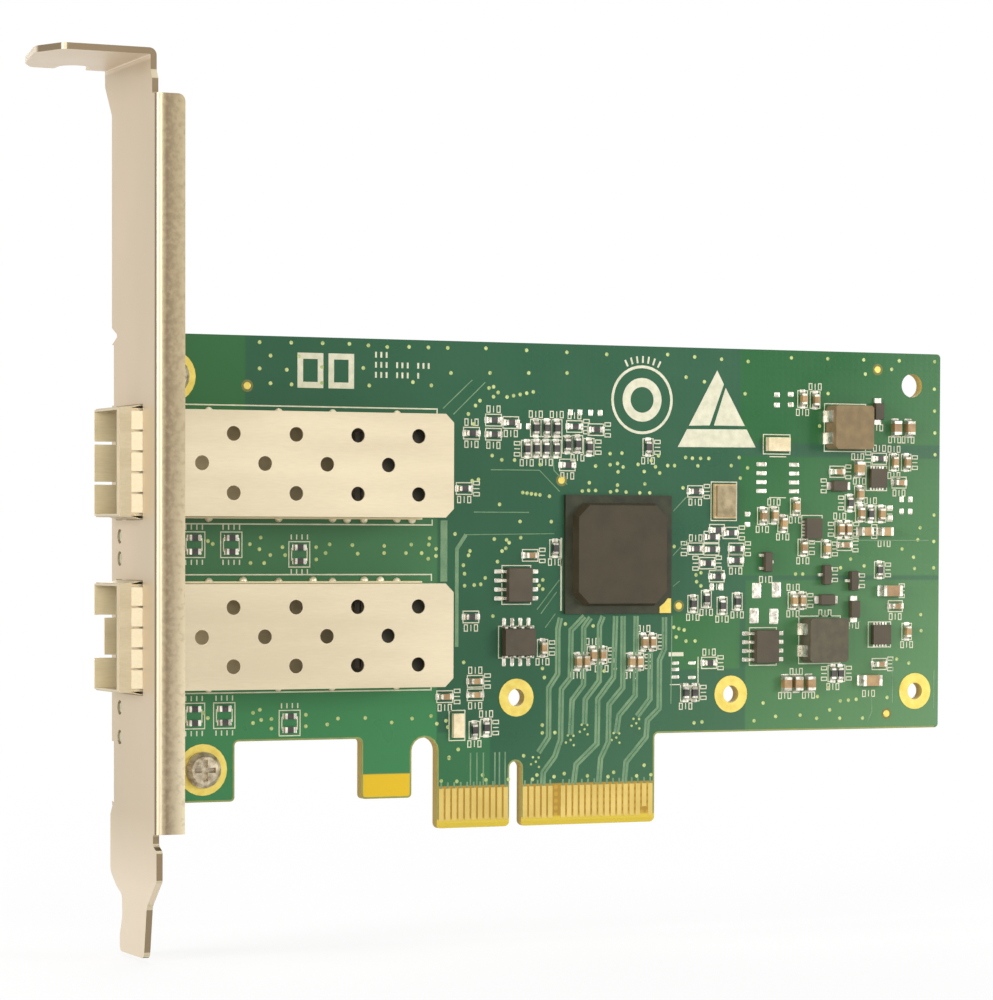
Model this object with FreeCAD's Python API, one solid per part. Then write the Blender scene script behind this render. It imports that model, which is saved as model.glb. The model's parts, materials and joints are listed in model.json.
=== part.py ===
import FreeCAD, Part
import math
import os

# Dual-port network interface card for a x4 edge slot, with its full-height bracket.
#
# Frame, in millimetres: X runs along the board away from the bracket, Y runs into the board from the
# component side, and Z runs up out of the slot. The origin is where the slot's key meets the card: X is 0
# at the middle of the key notch, Y is 0 on the component face and Z is 0 at the bottom of the edge tongue.

V = FreeCAD.Vector
os.makedirs("parts", exist_ok=True)

# ---------------------------------------------------------------- board
BOARD_T = 1.57            # laminate thickness
BOARD_TOP = 68.6          # top edge above the tongue's bottom
BOARD_RIGHT = 69.8        # free end
BOARD_CORNER_R = 0.6
LOWER_EDGE_Z = 12.8       # lower edge of the free end
TONGUE_LEFT = -12.15
TONGUE_RIGHT = 22.15
TONGUE_BEVEL = 0.35       # lead-in bevel along the tongue's bottom
KEY_W = 1.9
KEY_H = 9.25
SLOT_LEFT = -16.07        # slot between the edge tongue and the small tab
SLOT_TOP = 12.9
SMALL_TAB_LEFT = -23.65
SMALL_TAB_BOTTOM = 4.48
CUTOUT_LEFT = -42.5       # wide cut-out between the small tab and the bracket lug
CUTOUT_TOP = 12.9
LUG_BOTTOM = 4.65         # bottom of the board's corner that the lower bracket lug holds

# Gold edge fingers
FINGER_PITCH = 1.0
FINGER_W = 0.7
FINGER_BOTTOM = 1.04
FINGER_TOP = 5.61
FINGER_T = 0.05           # copper and gold on the laminate
LEFT_FINGER_COUNT = 11    # pins 1 to 11, left of the key
RIGHT_FINGER_COUNT = 21   # pins 12 to 32, right of the key
FIRST_FINGER_X = 1.5      # from the key's middle to the nearest finger on each side
PRESENCE_FINGER_COUNT = 31  # the short pin that makes contact last, counted from the left
PRESENCE_BOTTOM = 2.3
BARE_FINGER_COUNT = 17    # the reserved pin with no pad on the component side

# Plated mounting holes, one bare hole, and the bracket's screw holes
PLATED_HOLE_R = 1.25
PLATED_RING_R = 2.7
PLATED_HOLE_Z = 18.3
PLATED_HOLE_X = (0.1, 34.6, 65.75)
BARE_HOLE_R = 1.75
BARE_HOLE_FROM_RIGHT = 4.9
BARE_HOLE_FROM_TOP = 4.77
RING_T = 0.05
RING_SIDES = 24           # straight sides of each ring's outer edge

# ---------------------------------------------------------------- bracket
SHEET_T = 0.86
BEND_R = 1.0              # outside radius of a fold
BRACKET_X = -59.35        # outer face of the plate
BOARD_GAP = 0.89          # between the plate's inner face and the board's left end
NEAR_EDGE_Y = -15.95      # component-side edge
TAB_TOP = 105.04          # upper face of the fixing tab
TIP_BOTTOM = -15.06       # lower end of the bracket's tip
FLANGE_END_X = BRACKET_X + 4.02
FLANGE_BOTTOM = 1.75
FLANGE_DROP = 6.1         # from the fixing tab down to the flange
FLANGE_CORNER_R = 1.0
TAB_END_X = BRACKET_X - 14.25
TAB_FAR_Y = 5.4
TAB_NEAR_Y = -13.6
NECK_NEAR_Y = -14.25      # near edge of the plate between the flange and the tab
NECK_DROP = 4.04          # from the tab down to where this edge starts to lean inwards
NECK_TOP = 2.84           # from the tab down to where it meets the tab's own edge
NOTCH_X = BRACKET_X - 5.05  # screw notch in the tab
NOTCH_W = 4.42
NOTCH_END_Y = 1.2
LUG_REACH = 3.75          # from a lug's screw to its free end
LUG_HALF_H = 4.1          # from a lug's screw to its sides
UPPER_LUG_SCREW = (BRACKET_X + 7.6, 62.8)
LOWER_LUG_SCREW = (BRACKET_X + 12.2, 9.1)
LUG_RELIEF_H = 1.15       # half height of the notch above a lug, which lets it be folded
LUG_RELIEF_DEPTH = 2.6
SCREW_HOLE_R = 1.6        # in the board
SCREW_RING_R = 3.55
TAPPED_HOLE_R = 1.45      # in the lug
SHANK_SIDES = 16          # of a shank and of its tapped hole
SCREW_SHANK_R = 1.4
SCREW_HEAD_R = 2.5
SCREW_CROWN_R = 1.9
SCREW_HEAD_H = 1.15
SCREW_END = 0.5           # how far a screw stands out behind its lug
RECESS_W = 0.7
RECESS_L = 3.0
RECESS_DEPTH = 0.7
LED_HOLE_R = 1.0
LED_SIDES = 12
LED_Y = -0.9
LED_Z = (41.0, 38.0, 17.9, 13.9)

# ---------------------------------------------------------------- port cages
UPPER_PORT_Z = 50.85
LOWER_PORT_Z = 27.53
CAGE_W = 14.25            # outside, along Z
CAGE_H = 9.78             # outside, from the board
CAGE_FRONT_X = BRACKET_X - 3.3
CAGE_REAR_X = -14.0
CAGE_SHEET = 0.25
CAGE_CHAMFER = 1.2
VENT_R = 1.0
VENT_SIDES = 16
VENT_PITCH = 9.0
VENT_ROW_Z = 3.98         # outer rows from the port's middle
VENT_FIRST_X = -50.77     # middle row, the outer rows are half a pitch further back
VENTS_IN_ROW = 4
WINDOW_GAP_SIDE = 0.55    # between cage and window, along Z
WINDOW_GAP_NEAR = 0.75    # on the component side
WINDOW_GAP_FAR = 0.55     # on the board side
TRAY_SETBACK = 0.4        # from the spring fingers' ends to the base's low outer walls
TRAY_WALL_H = 1.6
PIN_X = (-46.3, -36.1, -28.1, -18.4)
PIN_HOLE_R = 0.52
PIN_HOLE_SIDES = 8
PIN_W = 0.6
PIN_END = 1.0             # how far a pin stands out behind the board
LATCH_W = 5.0             # latch tongue in the cage floor
LATCH_SLOT = 0.4
LATCH_REAR_X = -53.0
LATCH_HOLE = 2.4          # side of the triangular catch hole
LATCH_SETBACKS = {"upper": 0.0, "lower": 1.4}   # how far a tongue ends behind the port's rim
FLOOR_OPENING_X = -27.5   # the floor is open behind this, over the host connector

# Spring collar round each snout
SPRING_T = 0.15
COLLAR_FRONT_X = CAGE_FRONT_X + 0.3
SLIT_START_X = BRACKET_X - 1.35
SPRING_PEAK_X = BRACKET_X + SHEET_T / 2
SPRING_CLEARANCE = 0.05   # between a finger's back and the edge of its window
SPRING_END_X = BRACKET_X + 2.95
SPRING_END_LIFT = 0.1
SLIT_W = 0.3
COLLAR_INSET = 0.4        # from the cage's corners to the first slit
NEAR_FINGERS = 5
SIDE_FINGERS = 3

# Host connector inside each cage
HOST_SIDE_GAP = 1.325     # between the connector and the cage's side
HOST_W = CAGE_W - 2 * HOST_SIDE_GAP
HOST_H = 5.4
HOST_FRONT_X = -25.5
HOST_REAR_X = -16.0
HOST_SLOT_W = 9.4
HOST_SLOT_H = 1.2
HOST_SLOT_Y = -3.1        # middle of the slot above the board
HOST_SLOT_DEPTH = 6.0
HOST_MOUTH = 0.5          # lead-in round the slot
HOST_TOP_CUT = 1.3        # step along the upper front edge
CONTACT_PITCH = 0.8
CONTACT_COUNT = 10
CONTACT_W = 0.3
CONTACT_T = 0.18
CONTACT_FOOT = 1.3

# ---------------------------------------------------------------- controller
CONTROLLER_X = 16.0
CONTROLLER_Z = 38.65
SUBSTRATE_W = 17.0
SUBSTRATE_T = 0.56
MOULD_W = 14.4
MOULD_CORNER = 1.7
MOULD_T = 1.4
MOULD_DRAFT = 0.35


# ================================================================ helpers
def block(x0, x1, y0, y1, z0, z1):
    """A box given by its lowest and highest X, Y and Z."""
    return Part.makeBox(x1 - x0, y1 - y0, z1 - z0, V(x0, y0, z0))


def on_board(x, z, along_x, along_z, height, lift=0.0):
    """A block seated on the component face, or lifted off it, with its middle at (x, z)."""
    return block(x - along_x / 2, x + along_x / 2, -lift - height, -lift, z - along_z / 2, z + along_z / 2)


def cylinder_y(x, z, radius, y0, y1):
    """A cylinder along Y, from y0 to y1."""
    return Part.makeCylinder(radius, y1 - y0, V(x, y0, z), V(0, 1, 0))


def cylinder_x(y, z, radius, x0, x1):
    """A cylinder along X, from x0 to x1."""
    return Part.makeCylinder(radius, x1 - x0, V(x0, y, z), V(1, 0, 0))


def prism_y(x, z, radius, sides, y0, y1):
    """A many-sided rod along Y, for small round holes and pins."""
    return prism(V(x, y0, z), V(x, y1, z), V(radius, 0, 0), sides)


def prism_x(y, z, radius, sides, x0, x1):
    """A many-sided rod along X."""
    return prism(V(x0, y, z), V(x1, y, z), V(0, radius, 0), sides)


def polygon(middle, axis, reach, sides):
    """A regular polygon about an axis, with its first corner at middle + reach."""
    corners = [middle + FreeCAD.Rotation(axis, 360.0 * index / sides).multVec(reach) for index in range(sides)]
    return Part.makePolygon(corners + corners[:1])


def prism(start, end, reach, sides):
    """A rod from start to end with the section of a regular polygon."""
    return Part.Face(polygon(start, end - start, reach, sides)).extrude(end - start)


def on_plane(plane, u, w, level):
    """The point (u, w) of the "xz", "yz" or "xy" plane at the given level along its normal."""
    if plane == "xz":
        return V(u, level, w)
    if plane == "yz":
        return V(level, u, w)
    return V(u, w, level)


NORMALS = {"xz": V(0, 1, 0), "yz": V(1, 0, 0), "xy": V(0, 0, 1)}


def outline(plane, corners, level):
    """A closed wire through (u, w, radius) corners: straight runs joined by tangent arcs."""
    runs = []
    for index, (u, w, radius) in enumerate(corners):
        here = on_plane(plane, u, w, level)
        before = on_plane(plane, *corners[index - 1][:2], level)
        after = on_plane(plane, *corners[(index + 1) % len(corners)][:2], level)
        if radius == 0:
            runs.append((here, here, here))
            continue
        back = (before - here).normalize()
        ahead = (after - here).normalize()
        half_angle = back.getAngle(ahead) / 2
        reach = radius / math.tan(half_angle)
        bisector = (back + ahead).normalize()
        middle = here + bisector * (radius / math.sin(half_angle) - radius)
        runs.append((here + back * reach, middle, here + ahead * reach))
    edges = []
    for index, (start, middle, end) in enumerate(runs):
        last_end = runs[index - 1][2]
        if (start - last_end).Length > 1e-6:
            edges.append(Part.LineSegment(last_end, start).toShape())
        if (end - start).Length > 1e-6:
            edges.append(Part.Arc(start, middle, end).toShape())
    return Part.Wire(edges)


def slab(plane, corners, level, thickness):
    """A plate with the outline of the corners, from the level to level + thickness."""
    return Part.Face(outline(plane, corners, level)).extrude(NORMALS[plane] * thickness)


def sharp(points):
    """Corners with no rounding, for slab()."""
    return [(u, w, 0) for u, w in points]


def strip(path, thickness):
    """Outline of a bent strip: the path on one side, and the path moved square off it on the other."""
    offset = []
    for index, (u, w) in enumerate(path):
        before = path[max(index - 1, 0)]
        after = path[min(index + 1, len(path) - 1)]
        length = math.hypot(after[0] - before[0], after[1] - before[1])
        offset.append((u - (after[1] - before[1]) / length * thickness,
                       w + (after[0] - before[0]) / length * thickness))
    return sharp(path + offset[::-1])


def quarter_bend(centre, start, axis, length, thickness):
    """A quarter-ring fold: from the start direction, a quarter turn about the axis."""
    def sector(radius):
        whole = Part.makeCylinder(radius, length, V(0, 0, 0), V(0, 0, 1), 90)
        turn = FreeCAD.Rotation(start, axis.cross(start), axis, "ZXY")
        whole.Placement = FreeCAD.Placement(centre, turn)
        return whole
    return sector(BEND_R).cut(sector(BEND_R - thickness))


def fuse(pieces):
    """One solid from pieces that share faces."""
    joined = pieces[0].fuse(pieces[1:])
    return joined.removeSplitter()


nodes = {}


def keep(name, pieces):
    """Stores one node: a single solid, or a group of separate solids."""
    nodes[name] = Part.makeCompound(pieces) if isinstance(pieces, list) else pieces


# ================================================================ board
BOARD_LEFT = BRACKET_X + SHEET_T + BOARD_GAP
FLANGE_TOP = TAB_TOP - FLANGE_DROP
PORTS = {"upper": UPPER_PORT_Z, "lower": LOWER_PORT_Z}
LUG_SCREWS = (UPPER_LUG_SCREW, LOWER_LUG_SCREW)
PIN_OFFSET_Z = CAGE_W / 2 + CAGE_SHEET / 2
TRAY_FRONT_X = SPRING_END_X + TRAY_SETBACK


def board():
    """The laminate: edge tongue with its key, small tab, wide cut-out, bracket corner and all holes."""
    r = BOARD_CORNER_R
    key = KEY_W / 2
    corners = [
        (BOARD_LEFT, BOARD_TOP, r), (BOARD_RIGHT, BOARD_TOP, r), (BOARD_RIGHT, LOWER_EDGE_Z, r),
        (TONGUE_RIGHT, LOWER_EDGE_Z, r), (TONGUE_RIGHT, 0, r),
        (key, 0, r), (key, KEY_H, key * 0.98), (-key, KEY_H, key * 0.98), (-key, 0, r),
        (TONGUE_LEFT, 0, r), (TONGUE_LEFT, SLOT_TOP, 1.9), (SLOT_LEFT, SLOT_TOP, 1.9),
        (SLOT_LEFT, SMALL_TAB_BOTTOM, r), (SMALL_TAB_LEFT, SMALL_TAB_BOTTOM, r),
        (SMALL_TAB_LEFT, CUTOUT_TOP, r), (CUTOUT_LEFT, CUTOUT_TOP, r),
        (CUTOUT_LEFT, LUG_BOTTOM, r), (BOARD_LEFT, LUG_BOTTOM, r),
    ]
    plate = slab("xz", corners, 0, BOARD_T)
    holes = [cylinder_y(x, PLATED_HOLE_Z, PLATED_HOLE_R, -1, BOARD_T + 1) for x in PLATED_HOLE_X]
    holes.append(cylinder_y(BOARD_RIGHT - BARE_HOLE_FROM_RIGHT, BOARD_TOP - BARE_HOLE_FROM_TOP,
                            BARE_HOLE_R, -1, BOARD_T + 1))
    holes += [cylinder_y(x, z, SCREW_HOLE_R, -1, BOARD_T + 1) for x, z in LUG_SCREWS]
    for middle in PORTS.values():
        for x in PIN_X:
            for side in (-1, 1):
                holes.append(prism_y(x, middle + side * PIN_OFFSET_Z, PIN_HOLE_R, PIN_HOLE_SIDES, -1, BOARD_T + 1))
    bevels = []
    for face, inward in ((0, 1), (BOARD_T, -1)):
        wedge = sharp([(face - inward, -1), (face + inward * TONGUE_BEVEL, -1),
                       (face + inward * TONGUE_BEVEL, 0), (face, 2 * TONGUE_BEVEL),
                       (face - inward, 2 * TONGUE_BEVEL)])
        bevels.append(slab("yz", wedge, TONGUE_LEFT - 1, TONGUE_RIGHT - TONGUE_LEFT + 2))
    return plate.cut(holes + bevels)


def edge_fingers(face, outward, bare, short):
    """The gold pads of one side: a row left of the key and a row right of it."""
    pads = []
    y0, y1 = sorted((face, face + outward * FINGER_T))
    for number in range(1, LEFT_FINGER_COUNT + RIGHT_FINGER_COUNT + 1):
        if number in bare:
            continue
        if number <= LEFT_FINGER_COUNT:
            x = -FIRST_FINGER_X - (LEFT_FINGER_COUNT - number) * FINGER_PITCH
        else:
            x = FIRST_FINGER_X + (number - LEFT_FINGER_COUNT - 1) * FINGER_PITCH
        bottom = PRESENCE_BOTTOM if number in short else FINGER_BOTTOM
        pads.append(block(x - FINGER_W / 2, x + FINGER_W / 2, y0, y1, bottom, FINGER_TOP))
    return pads


def hole_rings():
    """Flat gold rings round the plated holes and the bracket screws, on both faces."""
    rings = []
    for x in PLATED_HOLE_X:
        hole = cylinder_y(x, PLATED_HOLE_Z, PLATED_HOLE_R, -1, BOARD_T + 1)
        for face in (-RING_T, BOARD_T):
            disc = prism_y(x, PLATED_HOLE_Z, PLATED_RING_R, RING_SIDES, face, face + RING_T)
            rings.append(disc.cut(hole))
    for x, z in LUG_SCREWS:
        disc = prism_y(x, z, SCREW_RING_R, RING_SIDES, -RING_T, 0)
        rings.append(disc.cut(prism_y(x, z, SCREW_HOLE_R, RING_SIDES, -1, 1)))
    return rings


keep("board", board())
keep("edge_fingers_front", edge_fingers(0, -1, (BARE_FINGER_COUNT,), (PRESENCE_FINGER_COUNT,)))
keep("edge_fingers_back", edge_fingers(BOARD_T, 1, (), (1,)))
keep("mounting_hole_rings", hole_rings())

# ================================================================ bracket
PLATE_INNER_X = BRACKET_X + SHEET_T
FAR_EDGE_Y = BOARD_T + SHEET_T          # the lugs lie on the board's solder side
WINDOW_NEAR_Y = -CAGE_H - WINDOW_GAP_NEAR
WINDOW_HALF_Z = CAGE_W / 2 + WINDOW_GAP_SIDE


def bracket_plate():
    """The flat of the bracket with its tip, reliefs, port windows and light holes."""
    upper_relief_z = UPPER_LUG_SCREW[1] + LUG_HALF_H
    relief_y = FAR_EDGE_Y - LUG_RELIEF_DEPTH
    corners = [
        # far edge, from the tab down to the tip
        (TAB_FAR_Y, TAB_TOP - BEND_R, 0), (TAB_FAR_Y, TAB_TOP - 3.0, 1.2), (FAR_EDGE_Y, TAB_TOP - 7.2, 1.2),
        (FAR_EDGE_Y, upper_relief_z + 2 * LUG_RELIEF_H, 0), (relief_y, upper_relief_z + LUG_RELIEF_H, 0.3),
        (FAR_EDGE_Y, upper_relief_z, 0),
        (FAR_EDGE_Y, 5.0, 0), (FAR_EDGE_Y - 0.2, 4.4, 0), (3.1, 3.2, 0.6), (3.1, -4.5, 1.2),
        (0.6, -6.3, 1.0), (-1.85, -7.3, 1.2), (-2.0, -10.2, 1.2), (-0.95, -12.8, 1.2),
        (-0.95, TIP_BOTTOM, 0.9), (-11.0, TIP_BOTTOM, 1.0), (-12.2, -8.0, 1.5), (-16.1, -4.4, 0.8),
        # near edge, from the tip up to the tab
        (-16.1, -0.4, 0.6), (-14.7, 0.2, 0.7), (-14.7, FLANGE_BOTTOM, 0),
        (NEAR_EDGE_Y + BEND_R, FLANGE_BOTTOM, 0), (NEAR_EDGE_Y + BEND_R, FLANGE_TOP, 0),
        (NECK_NEAR_Y, FLANGE_TOP, 0), (NECK_NEAR_Y, TAB_TOP - NECK_DROP, 0.5),
        (TAB_NEAR_Y, TAB_TOP - NECK_TOP, 0.5),
        (TAB_NEAR_Y, TAB_TOP - BEND_R, 0),
    ]
    plate = slab("yz", corners, BRACKET_X, SHEET_T)
    cuts = []
    for middle in PORTS.values():
        cuts.append(block(BRACKET_X - 1, PLATE_INNER_X + 1, WINDOW_NEAR_Y, WINDOW_GAP_FAR,
                          middle - WINDOW_HALF_Z, middle + WINDOW_HALF_Z))
    cuts += [prism_x(LED_Y, z, LED_HOLE_R, LED_SIDES, BRACKET_X - 1, PLATE_INNER_X + 1) for z in LED_Z]
    for x, z in LUG_SCREWS:
        cuts.append(block(BRACKET_X - 1, PLATE_INNER_X + 1, FAR_EDGE_Y - BEND_R, FAR_EDGE_Y + 1,
                          z - LUG_HALF_H, z + LUG_HALF_H))
    return plate.cut(cuts)


def stiffening_flange():
    """The long wing folded from the near edge back along the board, with its fold."""
    fold = quarter_bend(V(BRACKET_X + BEND_R, NEAR_EDGE_Y + BEND_R, FLANGE_BOTTOM),
                        V(-1, 0, 0), V(0, 0, 1), FLANGE_TOP - FLANGE_BOTTOM, SHEET_T)
    wing = slab("xz", [(BRACKET_X + BEND_R, FLANGE_BOTTOM, 0), (FLANGE_END_X, FLANGE_BOTTOM, 0),
                       (FLANGE_END_X, FLANGE_TOP, FLANGE_CORNER_R), (BRACKET_X + BEND_R, FLANGE_TOP, 0)],
                NEAR_EDGE_Y, SHEET_T)
    return [fold, wing]


def board_lug(x, z):
    """A lug folded from the far edge on to the board's solder side, tapped for the bracket screw."""
    fold = quarter_bend(V(BRACKET_X + BEND_R, FAR_EDGE_Y - BEND_R, z - LUG_HALF_H),
                        V(0, 1, 0), V(0, 0, 1), 2 * LUG_HALF_H, SHEET_T)
    wing = slab("xz", [(BRACKET_X + BEND_R, z - LUG_HALF_H, 0), (x + LUG_REACH, z - LUG_HALF_H, 1.0),
                       (x + LUG_REACH, z + LUG_HALF_H, 1.0), (BRACKET_X + BEND_R, z + LUG_HALF_H, 0)],
                BOARD_T, SHEET_T)
    return [fold, wing.cut(prism_y(x, z, TAPPED_HOLE_R, SHANK_SIDES, 0, 2 * FAR_EDGE_Y))]


def fixing_tab():
    """The tab folded outwards at the top, with the notch for the chassis screw."""
    half = NOTCH_W / 2
    fold = quarter_bend(V(PLATE_INNER_X - BEND_R, TAB_NEAR_Y, TAB_TOP - BEND_R),
                        V(0, 0, 1), V(0, 1, 0), TAB_FAR_Y - TAB_NEAR_Y, SHEET_T)
    root_x = PLATE_INNER_X - BEND_R
    flat = slab("xy", [
        (root_x, TAB_NEAR_Y, 0), (root_x, TAB_FAR_Y, 0),
        (NOTCH_X + half, TAB_FAR_Y, 0.4), (NOTCH_X + half, NOTCH_END_Y, half * 0.98),
        (NOTCH_X - half, NOTCH_END_Y, half * 0.98), (NOTCH_X - half, TAB_FAR_Y, 0.4),
        (TAB_END_X + 3.7, TAB_FAR_Y, 1.0), (TAB_END_X + 2.0, TAB_FAR_Y - 3.2, 2.0),
        (TAB_END_X, TAB_NEAR_Y + 5.0, 3.0), (TAB_END_X + 2.4, TAB_NEAR_Y, 1.0),
    ], TAB_TOP - SHEET_T, SHEET_T)
    return [fold, flat]


def bracket():
    """The whole bracket, folded from one sheet."""
    wings = stiffening_flange() + fixing_tab()
    for x, z in LUG_SCREWS:
        wings += board_lug(x, z)
    return fuse([bracket_plate()] + wings)


def bracket_screw(x, z):
    """A pan-head screw with a cross recess, through the board into its lug."""
    head_y = -RING_T - SCREW_HEAD_H
    skirt_y = head_y + SCREW_HEAD_H * 0.55
    head = prism_y(x, z, SCREW_HEAD_R, RING_SIDES, skirt_y, -RING_T)
    top_rim = polygon(V(x, head_y, z), V(0, 1, 0), V(SCREW_CROWN_R, 0, 0), RING_SIDES)
    skirt_rim = polygon(V(x, skirt_y, z), V(0, 1, 0), V(SCREW_HEAD_R, 0, 0), RING_SIDES)
    head = head.fuse(Part.makeLoft([top_rim, skirt_rim], True, True))
    shank = prism_y(x, z, SCREW_SHANK_R, SHANK_SIDES, -RING_T - 0.2, FAR_EDGE_Y + SCREW_END)
    half_w, half_l = RECESS_W / 2, RECESS_L / 2
    recess = block(x - half_l, x + half_l, head_y, head_y + RECESS_DEPTH, z - half_w, z + half_w)
    recess = recess.fuse(block(x - half_w, x + half_w, head_y, head_y + RECESS_DEPTH, z - half_l, z + half_l))
    return head.fuse(shank).cut(recess)


keep("bracket", bracket())
keep("bracket_screws", [bracket_screw(x, z) for x, z in LUG_SCREWS])


# ================================================================ port cages
def cage_outline(inset):
    """The cage seen from the component side: its two rear corners are cut off."""
    half = CAGE_W / 2 - inset
    rear = CAGE_REAR_X - inset
    cut = CAGE_CHAMFER - inset * (2 - math.sqrt(2))
    front = CAGE_FRONT_X - inset
    return sharp([(front, -half), (rear - cut, -half), (rear, -half + cut), (rear, half - cut),
                  (rear - cut, half), (front, half)])


def cage_cover(middle):
    """The upper shell, drawn round the top, both sides and the rear, with its vents."""
    def box(inset, low, height):
        corners = [(x, middle + z, r) for x, z, r in cage_outline(inset)]
        return slab("xz", corners, low, height)
    shell = box(0, -CAGE_H, CAGE_H - CAGE_SHEET)
    shell = shell.cut(box(CAGE_SHEET, -CAGE_H + CAGE_SHEET, CAGE_H))
    vents = []
    for row in (-1, 0, 1):
        first = VENT_FIRST_X + abs(row) * VENT_PITCH / 2
        for index in range(VENTS_IN_ROW):
            vents.append(prism_y(first + index * VENT_PITCH, middle + row * VENT_ROW_Z, VENT_R, VENT_SIDES,
                                 -CAGE_H - 1, -CAGE_H + 1))
    return shell.cut(vents)


def cage_base(middle, setback):
    """The floor with its latch tongue, its low outer walls and its press-fit pins."""
    half = CAGE_W / 2
    outer = half + CAGE_SHEET
    floor = block(CAGE_FRONT_X, TRAY_FRONT_X, -CAGE_SHEET, 0, middle - half, middle + half)
    rear_x = CAGE_REAR_X - CAGE_CHAMFER
    pieces = [block(TRAY_FRONT_X, rear_x, -CAGE_SHEET, 0, middle - outer, middle + outer)]
    for side in (-1, 1):
        z0, z1 = sorted((middle + side * half, middle + side * outer))
        pieces.append(block(TRAY_FRONT_X, rear_x, -TRAY_WALL_H, -CAGE_SHEET, z0, z1))
        for x in PIN_X:
            w = PIN_W / 2
            pin = sharp([(x - w, -CAGE_SHEET / 2), (x + w, -CAGE_SHEET / 2), (x + w, BOARD_T + PIN_END * 0.4),
                         (x + w * 0.4, BOARD_T + PIN_END), (x - w * 0.4, BOARD_T + PIN_END),
                         (x - w, BOARD_T + PIN_END * 0.4)])
            pieces.append(slab("xy", pin, z0, z1 - z0))
    tray = floor.fuse(pieces)
    cuts = [block(FLOOR_OPENING_X, CAGE_REAR_X, -CAGE_SHEET - 0.01, 1,
                  middle - half + 3 * CAGE_SHEET, middle + half - 3 * CAGE_SHEET)]
    for side in (-1, 1):
        slot = middle + side * (LATCH_W + LATCH_SLOT) / 2
        cuts.append(block(CAGE_FRONT_X - 1, LATCH_REAR_X, -1, 1, slot - LATCH_SLOT / 2, slot + LATCH_SLOT / 2))
    if setback > 0:
        half_latch = LATCH_W / 2
        cuts.append(block(CAGE_FRONT_X - 1, CAGE_FRONT_X + setback, -1, 1, middle - half_latch, middle + half_latch))
    catch_x = LATCH_REAR_X - LATCH_W
    catch = sharp([(catch_x, middle - LATCH_HOLE / 2), (catch_x + LATCH_HOLE, middle),
                   (catch_x, middle + LATCH_HOLE / 2)])
    cuts.append(slab("xz", catch, -1, 2))
    return tray.cut(cuts).removeSplitter()


def spring_finger(reach_from, reach_to, gap, place):
    """One bowed finger of the collar. place() turns (x, lift, across) into a point of the cage's face."""
    peak = gap - SPRING_T - SPRING_CLEARANCE
    path = [(SLIT_START_X, 0), (SPRING_PEAK_X - 0.4, peak), (SPRING_PEAK_X + 0.4, peak),
            (SPRING_END_X, SPRING_END_LIFT)]
    points = [place(u, w, reach_from) for u, w, _ in strip(path, SPRING_T)]
    face = Part.Face(Part.makePolygon(points + points[:1]))
    return face.extrude(place(0, 0, reach_to) - place(0, 0, reach_from))


def cage_springs(middle):
    """The contact collar: a thin band round the snout with bowed fingers on three sides."""
    half = CAGE_W / 2
    t = SPRING_T
    outer = block(COLLAR_FRONT_X, SLIT_START_X, -CAGE_H - t, t, middle - half - t, middle + half + t)
    inner = block(COLLAR_FRONT_X - 1, SLIT_START_X + 1, -CAGE_H, 0, middle - half, middle + half)
    latch_half = LATCH_W / 2 + LATCH_SLOT
    gap_for_latch = block(COLLAR_FRONT_X - 1, SLIT_START_X + 1, -t, 2 * t, middle - latch_half, middle + latch_half)
    pieces = [outer.cut([inner, gap_for_latch])]
    near_run = (NEAR_FINGERS, middle - half + COLLAR_INSET, CAGE_W - 2 * COLLAR_INSET)
    side_run = (SIDE_FINGERS, -CAGE_H + COLLAR_INSET, CAGE_H - 2 * COLLAR_INSET)
    sides = [
        (near_run, WINDOW_GAP_NEAR, lambda x, lift, a: V(x, -CAGE_H - lift, a)),
        (side_run, WINDOW_GAP_SIDE, lambda x, lift, a: V(x, a, middle + half + lift)),
        (side_run, WINDOW_GAP_SIDE, lambda x, lift, a: V(x, a, middle - half - lift)),
    ]
    for (count, start, length), gap, place in sides:
        step = (length + SLIT_W) / count
        for index in range(count):
            low = start + index * step
            pieces.append(spring_finger(low, low + step - SLIT_W, gap, place))
    return fuse(pieces)


def host_connector(middle):
    """The moulded connector at the rear of a cage, with the slot that takes the module's edge."""
    half = HOST_W / 2
    slot_half = HOST_SLOT_H / 2
    body = block(HOST_FRONT_X, HOST_REAR_X, -HOST_H, 0, middle - half, middle + half)
    step = slab("xy", sharp([(HOST_FRONT_X - 1, -HOST_H - 1), (HOST_FRONT_X + HOST_TOP_CUT, -HOST_H - 1),
                             (HOST_FRONT_X + HOST_TOP_CUT, -HOST_H), (HOST_FRONT_X, -HOST_H + HOST_TOP_CUT),
                             (HOST_FRONT_X - 1, -HOST_H + HOST_TOP_CUT)]), middle - half, HOST_W)
    slot = block(HOST_FRONT_X - 1, HOST_FRONT_X + HOST_SLOT_DEPTH, HOST_SLOT_Y - slot_half,
                 HOST_SLOT_Y + slot_half, middle - HOST_SLOT_W / 2, middle + HOST_SLOT_W / 2)
    mouth = slab("xy", sharp([(HOST_FRONT_X - 0.01, HOST_SLOT_Y - slot_half - HOST_MOUTH),
                              (HOST_FRONT_X + HOST_MOUTH, HOST_SLOT_Y - slot_half),
                              (HOST_FRONT_X + HOST_MOUTH, HOST_SLOT_Y + slot_half),
                              (HOST_FRONT_X - 0.01, HOST_SLOT_Y + slot_half + HOST_MOUTH)]),
                 middle - HOST_SLOT_W / 2, HOST_SLOT_W)
    return body.cut([step, slot, mouth])


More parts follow.
